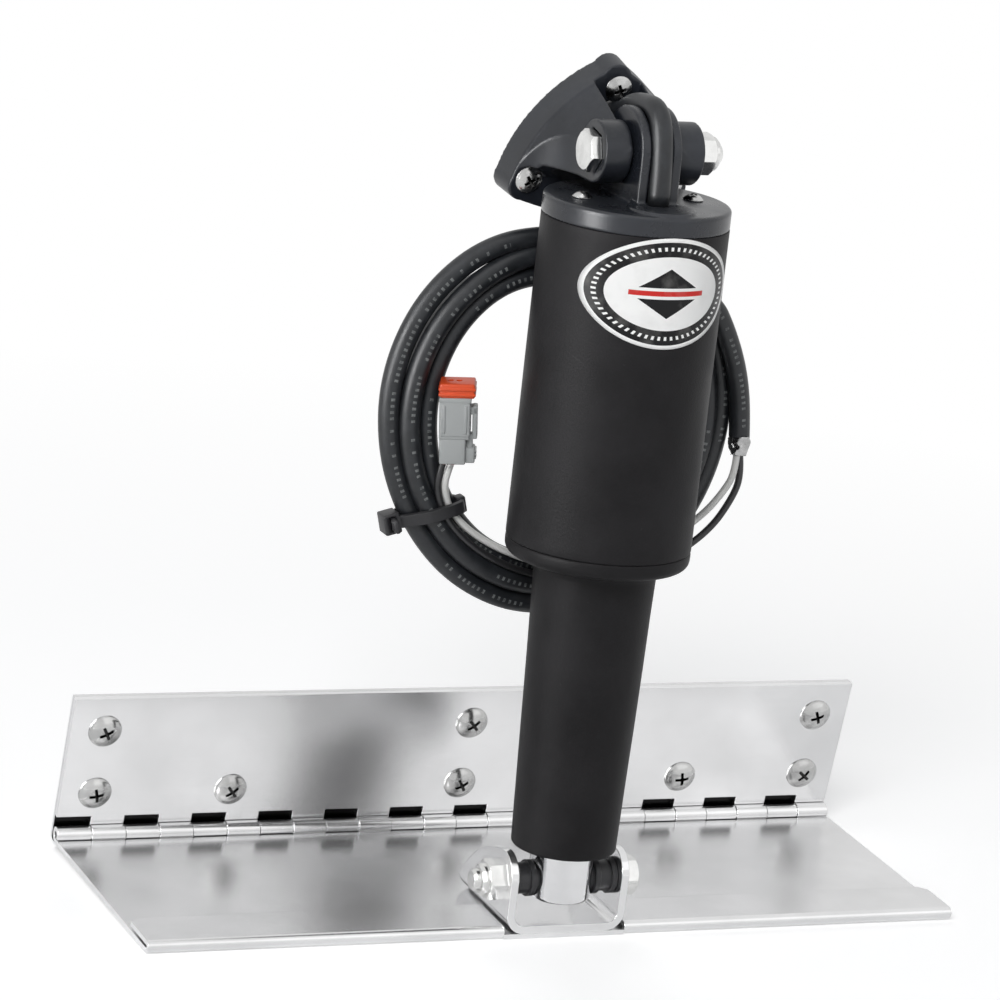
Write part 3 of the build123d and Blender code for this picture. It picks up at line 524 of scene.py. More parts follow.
def bump(tree, height, strength, distance, edge_radius=None):
    """A bumped normal, on rounded edges where a radius is given."""
    inputs = {"Height": height, "Strength": strength, "Distance": distance}
    if edge_radius is not None:
        inputs["Normal"] = add(tree, "Bevel", {"Radius": edge_radius}, samples=6).outputs[0]
    return add(tree, "Bump", inputs).outputs[0]


def sheet_metal(name, colour, roughness, stretch, grain=0.1, edge_radius=0.0003, shade_top=None):
    """Bright rolled stainless: fine lines, soft smudges, few scratches and softened edges."""
    material, tree, shader, place_at = new_material(name)
    rolled = use_group(tree, "rolled", {"Vector": place_at, "Stretch": stretch, "Smudge Scale": 22.0})
    marks = use_group(tree, "scratches", {"Vector": place_at, "Scale": 55.0, "Sparse": 0.76})
    darker = tuple(c * 0.88 for c in colour)
    toned = mix_colour(tree, spread(tree, rolled["Smudges"], 0.35, 0.7, 0.0, 1.0), colour, darker)
    lined = mix_colour(tree, times(tree, rolled["Lines"], grain), toned, (0.42, 0.43, 0.44))
    if shade_top is not None:
        # painted shade: the front face is darkened low down, where it shows in the hinge's windows
        height = axes(tree, place_at)["Z"]
        facing = axes(tree, add(tree, "TexCoord").outputs["Normal"])["Y"]
        shade = times(tree, spread(tree, height, shade_top, shade_top + 0.0008, 1.0, 0.0),
                      math(tree, "LESS_THAN", facing, -0.3))
        lined = mix_colour(tree, shade, lined, (0.016, 0.016, 0.016))
    # the smudges, the lines and the scratches each roughen the sheet a little
    smudge, line, scratch = 0.05, grain * 0.6, 0.02
    rough = plus(tree, times(tree, rolled["Smudges"], smudge), times(tree, rolled["Lines"], line),
                 times(tree, marks["Scratches"], scratch), roughness - (smudge + line) / 2)
    feed(tree, shader, {"Base Color": lined, "Metallic": 1.0, "Roughness": rough,
                        "Normal": bump(tree, rolled["Lines"], 0.05, 0.00003, edge_radius)})
    return material


def turned_metal(name, colour, roughness, fineness=2500.0, tone=0.08, grime_and_painted_shade=0.0):
    """Machined or cold-formed metal with fine turning marks, uneven tone and painted shade in its recesses.
    """
    material, tree, shader, place_at = new_material(name)
    rolled = use_group(tree, "rolled", {"Vector": place_at, "Smudge Scale": 120.0,
                                        "Stretch": (fineness, fineness * 0.2, fineness * 0.2)})
    marks = use_group(tree, "scratches", {"Vector": place_at, "Scale": 260.0, "Sparse": 0.73})
    darker = tuple(c * (1 - 2.2 * tone) for c in colour)
    toned = mix_colour(tree, spread(tree, rolled["Smudges"], 0.35, 0.72, 0.0, 1.0), colour, darker)
    # painted shade: faces marked as the recess are darkened nearly to black
    if grime_and_painted_shade:
        recess = add(tree, "Attribute", attribute_name="Recess").outputs["Fac"]
        toned = mix_colour(tree, times(tree, recess, grime_and_painted_shade), toned, (0.012, 0.012, 0.012))
    rough = plus(tree, times(tree, rolled["Smudges"], 0.10), roughness - 0.05,
                 times(tree, marks["Scratches"], 0.06))
    feed(tree, shader, {"Base Color": toned, "Metallic": 1.0, "Roughness": rough,
                        "Normal": bump(tree, rolled["Lines"], 0.08, 0.00002, 0.0003)})
    return material


def black_moulding(name, colour, roughness, scale, depth, worn=0.25, specular=0.5):
    """Moulded black plastic: pebbled grain, uneven sheen, paler worn edges and a little dust."""
    material, tree, shader, place_at = new_material(name)
    edge_radius = 0.0005
    grain = use_group(tree, "mould", {"Vector": place_at, "Scale": scale})
    edge = use_group(tree, "edge", {"Vector": place_at, "Radius": edge_radius, "Break Up": 0.5})
    settled = use_group(tree, "dust", {"Vector": place_at, "Amount": 0.12})
    marks = use_group(tree, "scratches", {"Vector": place_at, "Scale": 70.0, "Sparse": 0.77})
    paler = tuple(min(1.0, c * 1.5 + 0.002) for c in colour)
    toned = mix_colour(tree, spread(tree, grain["Tone"], 0.35, 0.7, 0.0, 1.0), colour, paler)
    toned = mix_colour(tree, times(tree, edge["Mask"], worn), toned, (0.12, 0.125, 0.13))
    toned = mix_colour(tree, times(tree, marks["Scratches"], 0.06), toned, (0.12, 0.12, 0.12))
    toned = mix_colour(tree, settled["Dust"], toned, (0.16, 0.16, 0.155))
    rough = plus(tree, spread(tree, grain["Tone"], 0.3, 0.7, roughness - 0.06, roughness + 0.08),
                 times(tree, settled["Dust"], 0.4))
    feed(tree, shader, {"Base Color": toned, "Roughness": rough, "Specular IOR Level": specular,
                        "Normal": bump(tree, grain["Height"], 0.35, depth, edge_radius)})
    return material


def cable_jacket(name, colour, paint, roughness):
    """Black rubbery jacket with faint lengthways lines, scuffs and a broken line of pale tick marks."""
    material, tree, shader, place_at = new_material(name)
    parts = axes(tree, add(tree, "UVMap", uv_map="Along").outputs[0])
    around, along = parts["X"], parts["Y"]
    # tick marks: short strokes on a narrow band, in blocks with gaps between them
    tick, block = 0.0022, 0.135
    band = math(tree, "COMPARE", math(tree, "FRACT", plus(tree, around, 0.5)), 0.5, 0.030)
    stroke = math(tree, "LESS_THAN", math(tree, "FRACT", times(tree, along, 1 / tick)), 0.42)
    cell = math(tree, "FLOOR", times(tree, along, 1 / tick))
    skip = add(tree, "TexWhiteNoise", {"W": cell}, noise_dimensions="1D")
    kept = math(tree, "GREATER_THAN", skip.outputs["Value"], 0.22)
    in_block = math(tree, "LESS_THAN", math(tree, "FRACT", times(tree, along, 1 / block)), 0.80)
    rub = spread(tree, noise_at(tree, place_at, 900.0, 3.0), 0.35, 0.6, 0.25, 0.9)
    printed = times(tree, band, stroke, kept, in_block, rub)
    drawn = add(tree, "CombineXYZ", {"X": times(tree, around, 90.0), "Y": times(tree, along, 20.0)})
    lengthways = noise_at(tree, drawn.outputs[0], 1.0, 3.0)
    scuffs = noise_at(tree, place_at, 160.0, 6.0, 0.7)
    paler = tuple(c * 1.7 + 0.003 for c in colour)
    toned = mix_colour(tree, spread(tree, scuffs, 0.45, 0.75, 0.0, 1.0), colour, paler)
    feed(tree, shader, {"Base Color": mix_colour(tree, printed, toned, paint),
                        "Roughness": spread(tree, scuffs, 0.3, 0.7, roughness - 0.07, roughness + 0.1),
                        "Normal": bump(tree, lengthways, 0.25, 0.00008)})
    return material


def smooth_plastic(name, colour, roughness, tone=0.12, coat=0.0):
    """Coloured moulded plastic or rubber with uneven tone and a faint grain."""
    material, tree, shader, place_at = new_material(name)
    edge_radius = 0.0003
    grain = use_group(tree, "mould", {"Vector": place_at, "Scale": 2600.0})
    edge = use_group(tree, "edge", {"Vector": place_at, "Radius": edge_radius, "Break Up": 0.3})
    darker = tuple(c * (1 - 2 * tone) for c in colour)
    paler = tuple(min(1.0, c * 1.25 + 0.02) for c in colour)
    toned = mix_colour(tree, spread(tree, grain["Tone"], 0.3, 0.7, 0.0, 1.0), colour, darker)
    toned = mix_colour(tree, times(tree, edge["Mask"], 0.5), toned, paler)
    rough = spread(tree, grain["Tone"], 0.3, 0.7, roughness - 0.06, roughness + 0.08)
    feed(tree, shader, {"Base Color": toned, "Coat Weight": coat, "Roughness": rough,
                        "Normal": bump(tree, grain["Height"], 0.2, 0.00002, edge_radius)})
    return material


def label_film(name):
    """Oval label: white rim, black ring with a row of small marks, white middle with plain shapes."""
    material, tree, shader, place_at = new_material(name)
    parts = axes(tree, add(tree, "UVMap", uv_map="Face").outputs[0])
    x, y = parts["X"], parts["Y"]

    def oval(shrink):
        # inside an oval that is smaller all round by some millimetres
        a = math(tree, "DIVIDE", x, LABEL_HALF[0] - shrink)
        b = math(tree, "DIVIDE", y, LABEL_HALF[1] - shrink)
        return math(tree, "LESS_THAN", plus(tree, times(tree, a, a), times(tree, b, b)), 1.0)

    ring = math(tree, "SUBTRACT", oval(1.35), oval(6.3))
    centre = oval(7.1)
    marks_band = math(tree, "SUBTRACT", oval(3.0), oval(4.3))
    angle = math(tree, "ARCTAN2", math(tree, "DIVIDE", y, LABEL_HALF[1]),
                 math(tree, "DIVIDE", x, LABEL_HALF[0]))
    teeth = math(tree, "FRACT", times(tree, angle, 60 / (2 * pi)))
    ticks = times(tree, math(tree, "LESS_THAN", teeth, 0.42), marks_band)
    ax, ay = math(tree, "ABSOLUTE", x), math(tree, "ABSOLUTE", y)
    bar = times(tree, math(tree, "LESS_THAN", ax, 13.4), math(tree, "LESS_THAN", ay, 0.85))
    # two opposed triangles, above and below the bar
    edge_line = plus(tree, times(tree, ax, 0.62), ay)
    wedge = times(tree, math(tree, "LESS_THAN", edge_line, 8.4), math(tree, "GREATER_THAN", ay, 1.9))
    white, black, red = (0.94, 0.94, 0.93), (0.007, 0.007, 0.008), (0.62, 0.03, 0.025)
    colour = mix_colour(tree, ring, white, black)
    colour = mix_colour(tree, ticks, colour, white)
    colour = mix_colour(tree, times(tree, wedge, centre), colour, black)
    colour = mix_colour(tree, times(tree, bar, centre), colour, red)
    stains = noise_at(tree, place_at, 130.0, 5.0)
    grime_and_painted_shade = spread(tree, stains, 0.5, 0.85, 0.0, 0.25)
    feed(tree, shader, {"Base Color": mix_colour(tree, grime_and_painted_shade, colour, (0.5, 0.49, 0.47)),
                        "Roughness": spread(tree, stains, 0.3, 0.7, 0.28, 0.4), "Specular IOR Level": 0.22,
                        "Normal": bump(tree, noise_at(tree, place_at, 300.0, 2.0), 0.1, 0.00004)})
    return material


def build_finishes(colours):
    """Every finish of the part, by the record's slot name where it has one."""
    f = FINISHES
    steel = tuple(colours.stainless)
    f["stainless_tab"] = sheet_metal("Stainless blade", steel, 0.24, (45.0, 2600.0, 2600.0), grain=0.10)
    f["stainless_leaf"] = sheet_metal("Stainless leaf", steel, 0.22, (45.0, 2600.0, 2600.0), grain=0.10)
    # the backing plate gets painted shade low down on its front face
    f["stainless_backing"] = sheet_metal("Stainless backing", tuple(c * 0.93 for c in steel), 0.2,
                                         (45.0, 2600.0, 2600.0), grain=0.14, shade_top=0.0068)
    f["stainless_clevis"] = sheet_metal("Stainless clevis", tuple(c * 1.02 for c in steel), 0.15,
                                        (2600.0, 60.0, 2600.0), grain=0.10, edge_radius=0.0005)
    f["steel_pin"] = turned_metal("Drawn pin", (0.10, 0.10, 0.10), 0.30, 3000.0)
    f["bolt_steel"] = turned_metal("Bright bolt", tuple(colours.fasteners), 0.17, 1800.0)
    # the screws' recesses get painted shade
    f["screw_steel"] = turned_metal("Bright screw", (0.62, 0.62, 0.615), 0.22, 2200.0, tone=0.12, grime_and_painted_shade=0.93)
    f["ram_steel"] = turned_metal("Polished ram", (0.82, 0.82, 0.83), 0.09, 900.0, tone=0.03)
    f["nut_bronze"] = turned_metal("Turned bronze", (0.62, 0.42, 0.21), 0.3)
    f["drive_steel"] = turned_metal("Machined steel", (0.52, 0.53, 0.55), 0.32)
    f["gear_steel"] = turned_metal("Sintered steel", (0.44, 0.44, 0.45), 0.42, tone=0.15)
    f["can_steel"] = turned_metal("Zinc plated can", (0.60, 0.60, 0.58), 0.3, 600.0)
    f["plate_aluminium"] = turned_metal("Machined aluminium", (0.72, 0.73, 0.74), 0.34)
    black = tuple(colours.housing)
    f["housing_lower"] = black_moulding("Lower housing plastic", tuple(c * 0.9 for c in black), 0.50, 1500.0,
                                        0.00010, specular=0.13)
    f["housing_upper"] = black_moulding("Motor housing plastic", black, 0.50, 1300.0, 0.00012, specular=0.13)
    f["cap_plastic"] = black_moulding("Cap plastic", tuple(colours.cap), 0.27, 2200.0, 0.00003, worn=0.15,
                                      specular=0.5)
    f["bracket_plastic"] = black_moulding("Bracket plastic", tuple(colours.cap), 0.33, 2000.0, 0.00004,
                                          worn=0.2, specular=0.45)
    f["bushing_black"] = black_moulding("Bushing plastic", (0.018, 0.018, 0.02), 0.38, 2600.0, 0.00003,
                                        worn=0.15)
    f["guide_plastic"] = smooth_plastic("Guide plastic", (0.66, 0.63, 0.55), 0.4)
    f["seal_rubber"] = black_moulding("Seal rubber", (0.016, 0.016, 0.016), 0.5, 2600.0, 0.00002, worn=0.05)
    f["label_film"] = label_film("Label film")
    f["cable_rubber"] = cable_jacket("Cable jacket", tuple(colours.cable), (0.19, 0.20, 0.20), 0.40)
    f["tie_plastic"] = black_moulding("Tie nylon", (0.014, 0.014, 0.016), 0.4, 2600.0, 0.00002, worn=0.1)
    f["shrink_plastic"] = turned_metal("Silver sleeve film", (0.55, 0.55, 0.55), 0.22, 900.0, tone=0.18)
    f["wire_insulation"] = smooth_plastic("Wire insulation", (0.78, 0.78, 0.76), 0.35, coat=0.2)
    f["plug_grey"] = smooth_plastic("Plug grey", tuple(colours.plug), 0.45, tone=0.06)
    f["plug_orange"] = smooth_plastic("Plug orange", tuple(colours.wedge), 0.4, tone=0.08)
    f["plug_seal"] = smooth_plastic("Plug seal", (0.45, 0.03, 0.02), 0.5)
    f["wire_black"] = smooth_plastic("Black wire insulation", (0.02, 0.02, 0.022), 0.35, coat=0.2)


def finish_piece(obj, slot):
    """Give a piece the finish of the given slot."""
    obj.data.materials.clear()
    obj.data.materials.append(FINISHES[slot])
    return obj


def dress(obj, slot, body, *nodes):
    """Finish a piece, let it ride on its body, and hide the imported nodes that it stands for."""
    finish_piece(obj, slot)
    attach(obj, body)
    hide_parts(*nodes)
    return obj


# ---------------------------------------------------------------- settings

class TrimTabSizes(bpy.types.PropertyGroup):
    cable_diameter: bpy.props.FloatProperty(
        name="Cable diameter", description="Outside diameter of the actuator's cable", default=0.0075,
        min=0.003, max=0.02, unit="LENGTH", precision=4)
    wire_diameter: bpy.props.FloatProperty(
        name="Wire diameter", description="Outside diameter of one insulated wire", default=0.0025,
        min=0.001, max=0.005, unit="LENGTH", precision=4)
    coil_turns: bpy.props.IntProperty(
        name="Whole turns", description="Whole turns of the coiled cable", default=4, min=1, max=8)
    screw_head: bpy.props.FloatProperty(
        name="Screw head diameter", description="Diameter of the transom screws' heads", default=0.0121,
        min=0.006, max=0.02, unit="LENGTH", precision=4)
    camera_lens: bpy.props.FloatProperty(
        name="Camera lens", description="Focal length of the view, in millimetres", default=169.17,
        min=20, max=400)


class TrimTabColours(bpy.types.PropertyGroup):
    stainless: bpy.props.FloatVectorProperty(
        name="Stainless", description="Colour of the sheet metal", default=(0.87, 0.87, 0.875),
        min=0, max=1, size=3, subtype="COLOR")
    fasteners: bpy.props.FloatVectorProperty(
        name="Bolts", description="Colour of the pivot bolts and nuts", default=(0.80, 0.80, 0.79),
        min=0, max=1, size=3, subtype="COLOR")
    housing: bpy.props.FloatVectorProperty(
        name="Housing", description="Colour of the motor housing", default=(0.0115, 0.0110, 0.0120),
        min=0, max=1, size=3, subtype="COLOR")
    cap: bpy.props.FloatVectorProperty(
        name="Cap and bracket", description="Colour of the cap and of the upper bracket",
        default=(0.0125, 0.0145, 0.0195), min=0, max=1, size=3, subtype="COLOR")
    cable: bpy.props.FloatVectorProperty(
        name="Cable", description="Colour of the cable's jacket", default=(0.0120, 0.0135, 0.0160),
        min=0, max=1, size=3, subtype="COLOR")
    plug: bpy.props.FloatVectorProperty(
        name="Plug", description="Colour of the plug's body", default=(0.37, 0.385, 0.385),
        min=0, max=1, size=3, subtype="COLOR")
    wedge: bpy.props.FloatVectorProperty(
        name="Plug wedge", description="Colour of the plug's wedge", default=(0.72, 0.075, 0.012),
        min=0, max=1, size=3, subtype="COLOR")


# ---------------------------------------------------------------- stage

def flat_card(name, centre, across, upwards, strength):
    """A flat card of the studio that only shows in reflections."""
    bm = bmesh.new()
    centre, across, upwards = Vector(centre), Vector(across), Vector(upwards)
    bm.faces.new([bm.verts.new(centre + across * a + upwards * b)
                  for a, b in ((-1, -1), (1, -1), (1, 1), (-1, 1))])
    card = new_mesh_object(name, bm, smooth=False)
    material = bpy.data.materials.new(name)
    tree = emptied(material)
    put_out(tree, "Material", add(tree, "Emission", {"Color": (strength, strength, strength, 1.0),
                                                     "Strength": 1.0}))
    card.data.materials.append(material)
    card.visible_camera = False
    card.visible_diffuse = False
    card.visible_shadow = False


def area_light(name, position, target, size, power):
    data = bpy.data.lights.new(name, "AREA")
    data.shape = "RECTANGLE"
    data.size, data.size_y = size
    data.energy = power
    lamp = link(bpy.data.objects.new(name, data))
    lamp.visible_glossy = False
    lamp.location = position
    lamp.rotation_euler = (Vector(target) - Vector(position)).to_track_quat("-Z", "Y").to_euler()


def white_floor(z):
    """Pale floor that reads white to the camera and in reflections, and keeps the object's shadow."""
    bm = bmesh.new()
    reach = 5.0
    bm.faces.new([bm.verts.new((x, y, z))
                  for x, y in ((-reach, -reach), (reach, -reach), (reach, reach), (-reach, reach))])
    floor = new_mesh_object("floor", bm, smooth=False)
    material = bpy.data.materials.new("Studio floor")
    tree = emptied(material)
    lit = add(tree, "BsdfDiffuse", {"Color": (0.86, 0.86, 0.86, 1.0)})
    rays = add(tree, "LightPath").outputs
    seen = plus(tree, times(tree, rays["Is Camera Ray"], FLOOR_GLOW[0]),
                times(tree, rays["Is Glossy Ray"], FLOOR_GLOW[1]),
                times(tree, rays["Is Transmission Ray"], FLOOR_GLOW[0]))
    glow = add(tree, "Emission", {"Color": (1, 1, 1, 1), "Strength": seen})
    both = add(tree, "AddShader", {0: lit.outputs[0], 1: glow.outputs[0]})
    # the floor fades to plain white away from the object
    place_at = add(tree, "TexCoord").outputs["Object"]
    away = add(tree, "VectorMath", {0: place_at}, operation="LENGTH").outputs["Value"]
    direct = math(tree, "MAXIMUM", rays["Is Camera Ray"], rays["Is Glossy Ray"])
    far = times(tree, spread(tree, away, 0.30, 0.75, 0.0, 1.0), direct)
    white = add(tree, "Emission", {"Color": (1, 1, 1, 1), "Strength": 1.0})
    put_out(tree, "Material", add(tree, "MixShader", {0: far, 1: both.outputs[0], 2: white.outputs[0]}))
    floor.data.materials.append(material)


def studio_world():
    """White to the camera, soft as a light and pale in reflections."""
    world = bpy.data.worlds.new("Studio")
    bpy.context.scene.world = world
    tree = emptied(world)
    rays = add(tree, "LightPath").outputs
    seen = math(tree, "MAXIMUM", rays["Is Camera Ray"], rays["Is Transmission Ray"])
    soft = add(tree, "Background", {"Color": (0.95, 0.97, 1.0, 1.0), "Strength": WORLD_LIGHT[0]})
    mirrored = add(tree, "Background", {"Color": (1.0, 1.0, 1.0, 1.0), "Strength": WORLD_LIGHT[1]})
    white = add(tree, "Background", {"Color": (1, 1, 1, 1), "Strength": 1.0})
    first = add(tree, "MixShader", {0: rays["Is Glossy Ray"], 1: soft.outputs[0], 2: mirrored.outputs[0]})
    put_out(tree, "World", add(tree, "MixShader", {0: seen, 1: first.outputs[0], 2: white.outputs[0]}))


# Lamps: place, target, size and power
LAMPS = (
    ("key", (-0.9, -1.3, 1.35), (0, -0.08, 0.15), (0.9, 0.7), 24.0),
    ("fill", (1.3, -1.0, 0.9), (0, -0.08, 0.12), (0.8, 0.8), 0.9),
    ("back", (0.3, 1.2, 1.1), (0, -0.08, 0.2), (1.0, 0.5), 5.0),
)
# Reflection cards: place, half width, half height, brightness
CARDS = (
    ("card_left", (-1.0, -0.35, 0.42), (0.0, 0.22, 0.0), (0.0, 0.0, 0.42), 13.0),
    ("card_high_front", (0.67, -1.2, 0.95), (0.85, 0.47, 0.0), (-0.12, 0.22, 0.37), 1.22),
    ("card_back", (0.45, 1.5, 0.50), (1.5, 0.0, 0.0), (0.0, 0.0, 0.52), 0.80),
    ("card_top", (-0.3, -0.5, 1.5), (0.5, 0.0, 0.0), (0.0, 0.4, 0.0), 1.5),
)
# The world's strength as a light and in reflections; the floor's own glow to the camera and in reflections
WORLD_LIGHT = (0.23, 0.90)
FLOOR_GLOW = (0.40, 0.22)


def photo_camera(lens):
    """The camera that was fitted to the photograph."""
    azimuth, elevation, roll = radians(-24.32), radians(14.34), radians(6.26)
    target = Vector((-17.99, -50.0, 136.34)) * MM
    distance = 1.63296
    back = Vector((sin(azimuth) * cos(elevation), -cos(azimuth) * cos(elevation), sin(elevation)))
    right = (-back).cross(Vector((0, 0, 1))).normalized()
    up = right.cross(-back)
    r = right * cos(roll) + up * sin(roll)
    u = -right * sin(roll) + up * cos(roll)
    data = bpy.data.cameras.new("photo_camera")
    data.sensor_width = 36.0
    data.lens = lens
    data.clip_start = 0.05
    data.clip_end = 20.0
    camera = link(bpy.data.objects.new("photo_camera", data))
    turn = Matrix((r, u, back)).transposed().to_4x4()
    camera.matrix_world = Matrix.Translation(target + back * distance) @ turn
    bpy.context.scene.camera = camera


class TRIMTAB_OT_stage(bpy.types.Operator):
    """Set up the camera, the floor, the lights and the cards that the metal reflects"""
    bl_idname = "trimtab.stage"
    bl_label = "Stage"

    def execute(self, context):
        photo_camera(context.scene.trim_tab_sizes.camera_lens)
        white_floor(CAD_BOX[0][2] - 0.0002)
        studio_world()
        for lamp in LAMPS:
            area_light(*lamp)
        for card in CARDS:
            flat_card(*card)
        context.scene.view_settings.view_transform = "Standard"
        return {"FINISHED"}


# ---------------------------------------------------------------- cable, wires and plug

EYE_LEAD = [
    (0, PIVOT_Y - 15.8, UPPER_Z - 14.75), (0, PIVOT_Y - 15.8, UPPER_Z + 15.8),
    (0, PIVOT_Y + 9.0, UPPER_Z + 15.8), (0, PIVOT_Y + 23.0, UPPER_Z + 7.3),
    (0, PIVOT_Y + 38.0, UPPER_Z + 7.0)]
BACK_LEAD = [
    (0, PIVOT_Y + 30.0, UPPER_Z + 7.2), (0, PIVOT_Y + 49.0, UPPER_Z + 7.0),
    (4, PIVOT_Y + 62.0, UPPER_Z - 12.0), (14, PIVOT_Y + 57.5, UPPER_Z - 33.5),
    (30, -45.3, UPPER_Z - 46.5), (43, -51.5, UPPER_Z - 61.0)]
# the last stretch leaves the bundle in front of it and ends in the sleeve
LOOSE_END = [
    (47.6, -64.6, 211.4), (53.2, -65.0, 202.0), (57.9, -65.0, 192.0), (61.5, -64.0, 182.4),
    (64.0, -63.0, 172.2), (65.2, -62.5, 163.0)]
SLEEVE_LINE = [(65.2, -62.5, 162.8), (65.3, -63.0, 159.8), (65.0, -63.6, 156.4)]
COIL_START, COIL_END = 27.0, 48.0
# where a turn lies in the bundle: out from the ring's middle and back from it, one place for each turn
TURN_PLACES = [(-3.75, 4.5), (-7.0, -2.2), (0.0, -4.9), (7.0, -2.2), (7.6, -8.4)]


def turn_place(step):
    """The place of a turn in the bundle's section; between two places it bulges outwards."""
    low = max(0, min(int(step), len(TURN_PLACES) - 1))
    high = min(low + 1, len(TURN_PLACES) - 1)
    part = step - low
    out = TURN_PLACES[low][0] * (1 - part) + TURN_PLACES[high][0] * part
    back = TURN_PLACES[low][1] * (1 - part) + TURN_PLACES[high][1] * part
    size = max(sqrt(out * out + back * back), 1e-6)
    bulge = 1.3 * sin(pi * part) ** 2 / size
    return out * (1 + bulge), back * (1 + bulge)


def ring_swell(turn):
    """How far the whole ring stands out from its oval: it hangs lower and leans to the upper left."""
    return 2.9 * min(0.0, sin(turn)) ** 4 + 2.2 * max(0.0, sin(turn - radians(55))) ** 4


def coil_place(angle, step):
    """A point of the coil in millimetres: an oval ring that is flattened under the bracket."""
    out, back = turn_place(step)
    turn = radians(angle)
    whole = int(step + 0.5)
    sway = 0.5 * sin(2 * turn + 0.9 * whole) + 0.35 * sin(3 * turn + 1.9 * whole)
    over = (angle - 90.0 + 180.0) % 360.0 - 180.0
    flat = 4.4 * cos(radians(over * 3)) ** 2 if abs(over) < 30.0 else 0.0
    out += sway + ring_swell(turn)
    x = COIL_CENTRE.x + (COIL_RIDE[0] + out) * cos(turn)
    z = COIL_CENTRE.z + (COIL_RIDE[1] + out) * sin(turn) - flat
    return x, COIL_CENTRE.y + back, z


def coil_points(turns, per_turn=15):
    """Control points of the coiled turns, clockwise from the lead to the stripped end."""
    points = []
    total = COIL_START - COIL_END + 360.0 * turns
    count = int(round(total / 360.0 * per_turn))
    for index in range(count):
        angle = COIL_START - total * index / count
        # every turn moves on to the next place while it passes the top
        passed = (90.0 - angle) / 360.0
        nearest = int(passed + 0.5)
        ease = min(1.0, max(0.0, (passed - nearest + 0.10) / 0.20))
        step = nearest - 1 + ease * ease * (3 - 2 * ease) if nearest else 0.0
        points.append(coil_place(angle, step))
    return points + LOOSE_END


WIRE_WELLS = (-4.4, -1.5)
WIRE_POINTS = {
    "wire_white": [(64.4, -63.9, 157.4), (64.0, -64.8, 150.5), (61.0, -65.2, 144.4), (53.0, -65.2, 134.4),
                   (36.0, -64.6, 122.4), (16.0, -63.0, 116.6), (-6.0, -62.4, 116.9), (-20.4, -62.0, 121.4),
                   (-33.4, -61.6, 128.2), (-41.8, -61.5, 136.2), (-45.9, -64.2, 145.0), (-46.0, -66.4, 151.4),
                   (-44.4, -66.7, 157.2)],
    "wire_black": [(65.8, -63.2, 157.2), (66.9, -64.0, 150.0), (65.2, -64.2, 142.0), (57.0, -64.2, 128.6),
                   (40.0, -64.0, 117.0), (18.0, -63.6, 111.4), (-6.0, -63.2, 112.4), (-22.0, -62.9, 117.4),
                   (-35.2, -62.6, 125.2), (-43.9, -62.4, 134.2), (-48.0, -63.2, 143.8), (-48.4, -65.0, 150.2),
                   (-47.1, -65.5, 157.2)]}


def hull(points):
    """Convex hull of (x, y) points, counterclockwise."""
    points = sorted(set(points))
    if len(points) < 3:
        return points

    def half(run):
        chain = []
        for p in run:
            while len(chain) > 1 and ((chain[-1][0] - chain[-2][0]) * (p[1] - chain[-2][1])
                                      - (chain[-1][1] - chain[-2][1]) * (p[0] - chain[-2][0])) <= 0:
                chain.pop()
            chain.append(p)
        return chain[:-1]

    return half(points) + half(points[::-1])


# where the two wires lie in the bundle's section under the tie
TIED_WIRES = [(-7.4, -7.2), (-9.7, -6.4)]


def cable_tie(angle, tilt):
    """A ratchet tie pulled round the turns: ribbed band, head and cut tail."""
    room, thick, half = 3.95, 1.25, 2.4
    round_points = []
    circles = [(turn_place(step), room, 40) for step in range(4)] + [(wire, 1.35, 20) for wire in TIED_WIRES]
    for (out, back), size, count in circles:
        for step in range(count):
            turn = 2 * pi * step / count
            round_points.append((round((out + size * cos(turn)) / cos(tilt), 4),
                                 round(back + size * sin(turn), 4)))
    inner = hull(round_points)
    count = len(inner)
    outer = []
    for index, (x, y) in enumerate(inner):
        ax, ay = inner[index - 1]
        bx, by = inner[(index + 1) % count]
        dx, dy = bx - ax, by - ay
        size = sqrt(dx * dx + dy * dy)
        outer.append((x + dy / size * thick, y - dx / size * thick))
    bm = bmesh.new()
    rings = []
    for (ix, iy), (ox, oy) in zip(inner, outer):
        section = ((ix, iy, -half), (ox, oy, -half + 0.35), (ox, oy, half - 0.35), (ix, iy, half))
        rings.append([bm.verts.new((px * MM, py * MM, pz * MM)) for px, py, pz in section])
    for index in range(count):
        bridge(bm, rings[index], rings[(index + 1) % count])
    band = smooth_by_angle(closed_mesh("tie_band", bm), 40)
    reach = max(x for x, y in outer)
    near = min(x for x, y in outer)
    head = rounded_box("tie_head", (reach - 2.4, reach + 3.6), (-6.4, 0.6), (-3.7, 3.7), 0.6)
    slot = rounded_box("tie_slot", (reach - 0.5, reach + 1.5), (-9, 3), (-2.6, 2.6), 0.15)
    boolean(head, slot)
    tail = rounded_box("tie_tail", (reach - 0.2, reach + 1.1), (-10.4, 2.4), (-2.3, 2.3), 0.25)
    ribs = []
    for index in range(5):
        y = -10.2 + index * 0.75
        ribs.append(rounded_box("tie_rib", (reach + 0.9, reach + 1.35), (y, y + 0.35), (-1.8, 1.8), 0.1, 1))
    knot = rounded_box("tie_fold", (near - 0.9, near + 2.4), (-6.4, -2.0), (-2.9, 2.9), 0.6)
    tie = joined("cable_tie_round_turns", [band, head, tail, knot] + ribs)
    # section frame: X out from the coil's centre, Y back (+Y of the part), Z along the turn
    turn = radians(angle)
    out = Vector((cos(turn), 0, sin(turn)))
    back = Vector((0, 1, 0))
    basis = Matrix((out, back, out.cross(back))).transposed().to_4x4()
    swell = ring_swell(turn)
    middle = Vector((COIL_CENTRE.x + (COIL_RIDE[0] + swell) * cos(turn), COIL_CENTRE.y,
                     COIL_CENTRE.z + (COIL_RIDE[1] + swell) * sin(turn)))
    return place(tie, Matrix.Translation(middle * MM) @ basis @ Matrix.Rotation(tilt, 4, "Y"))


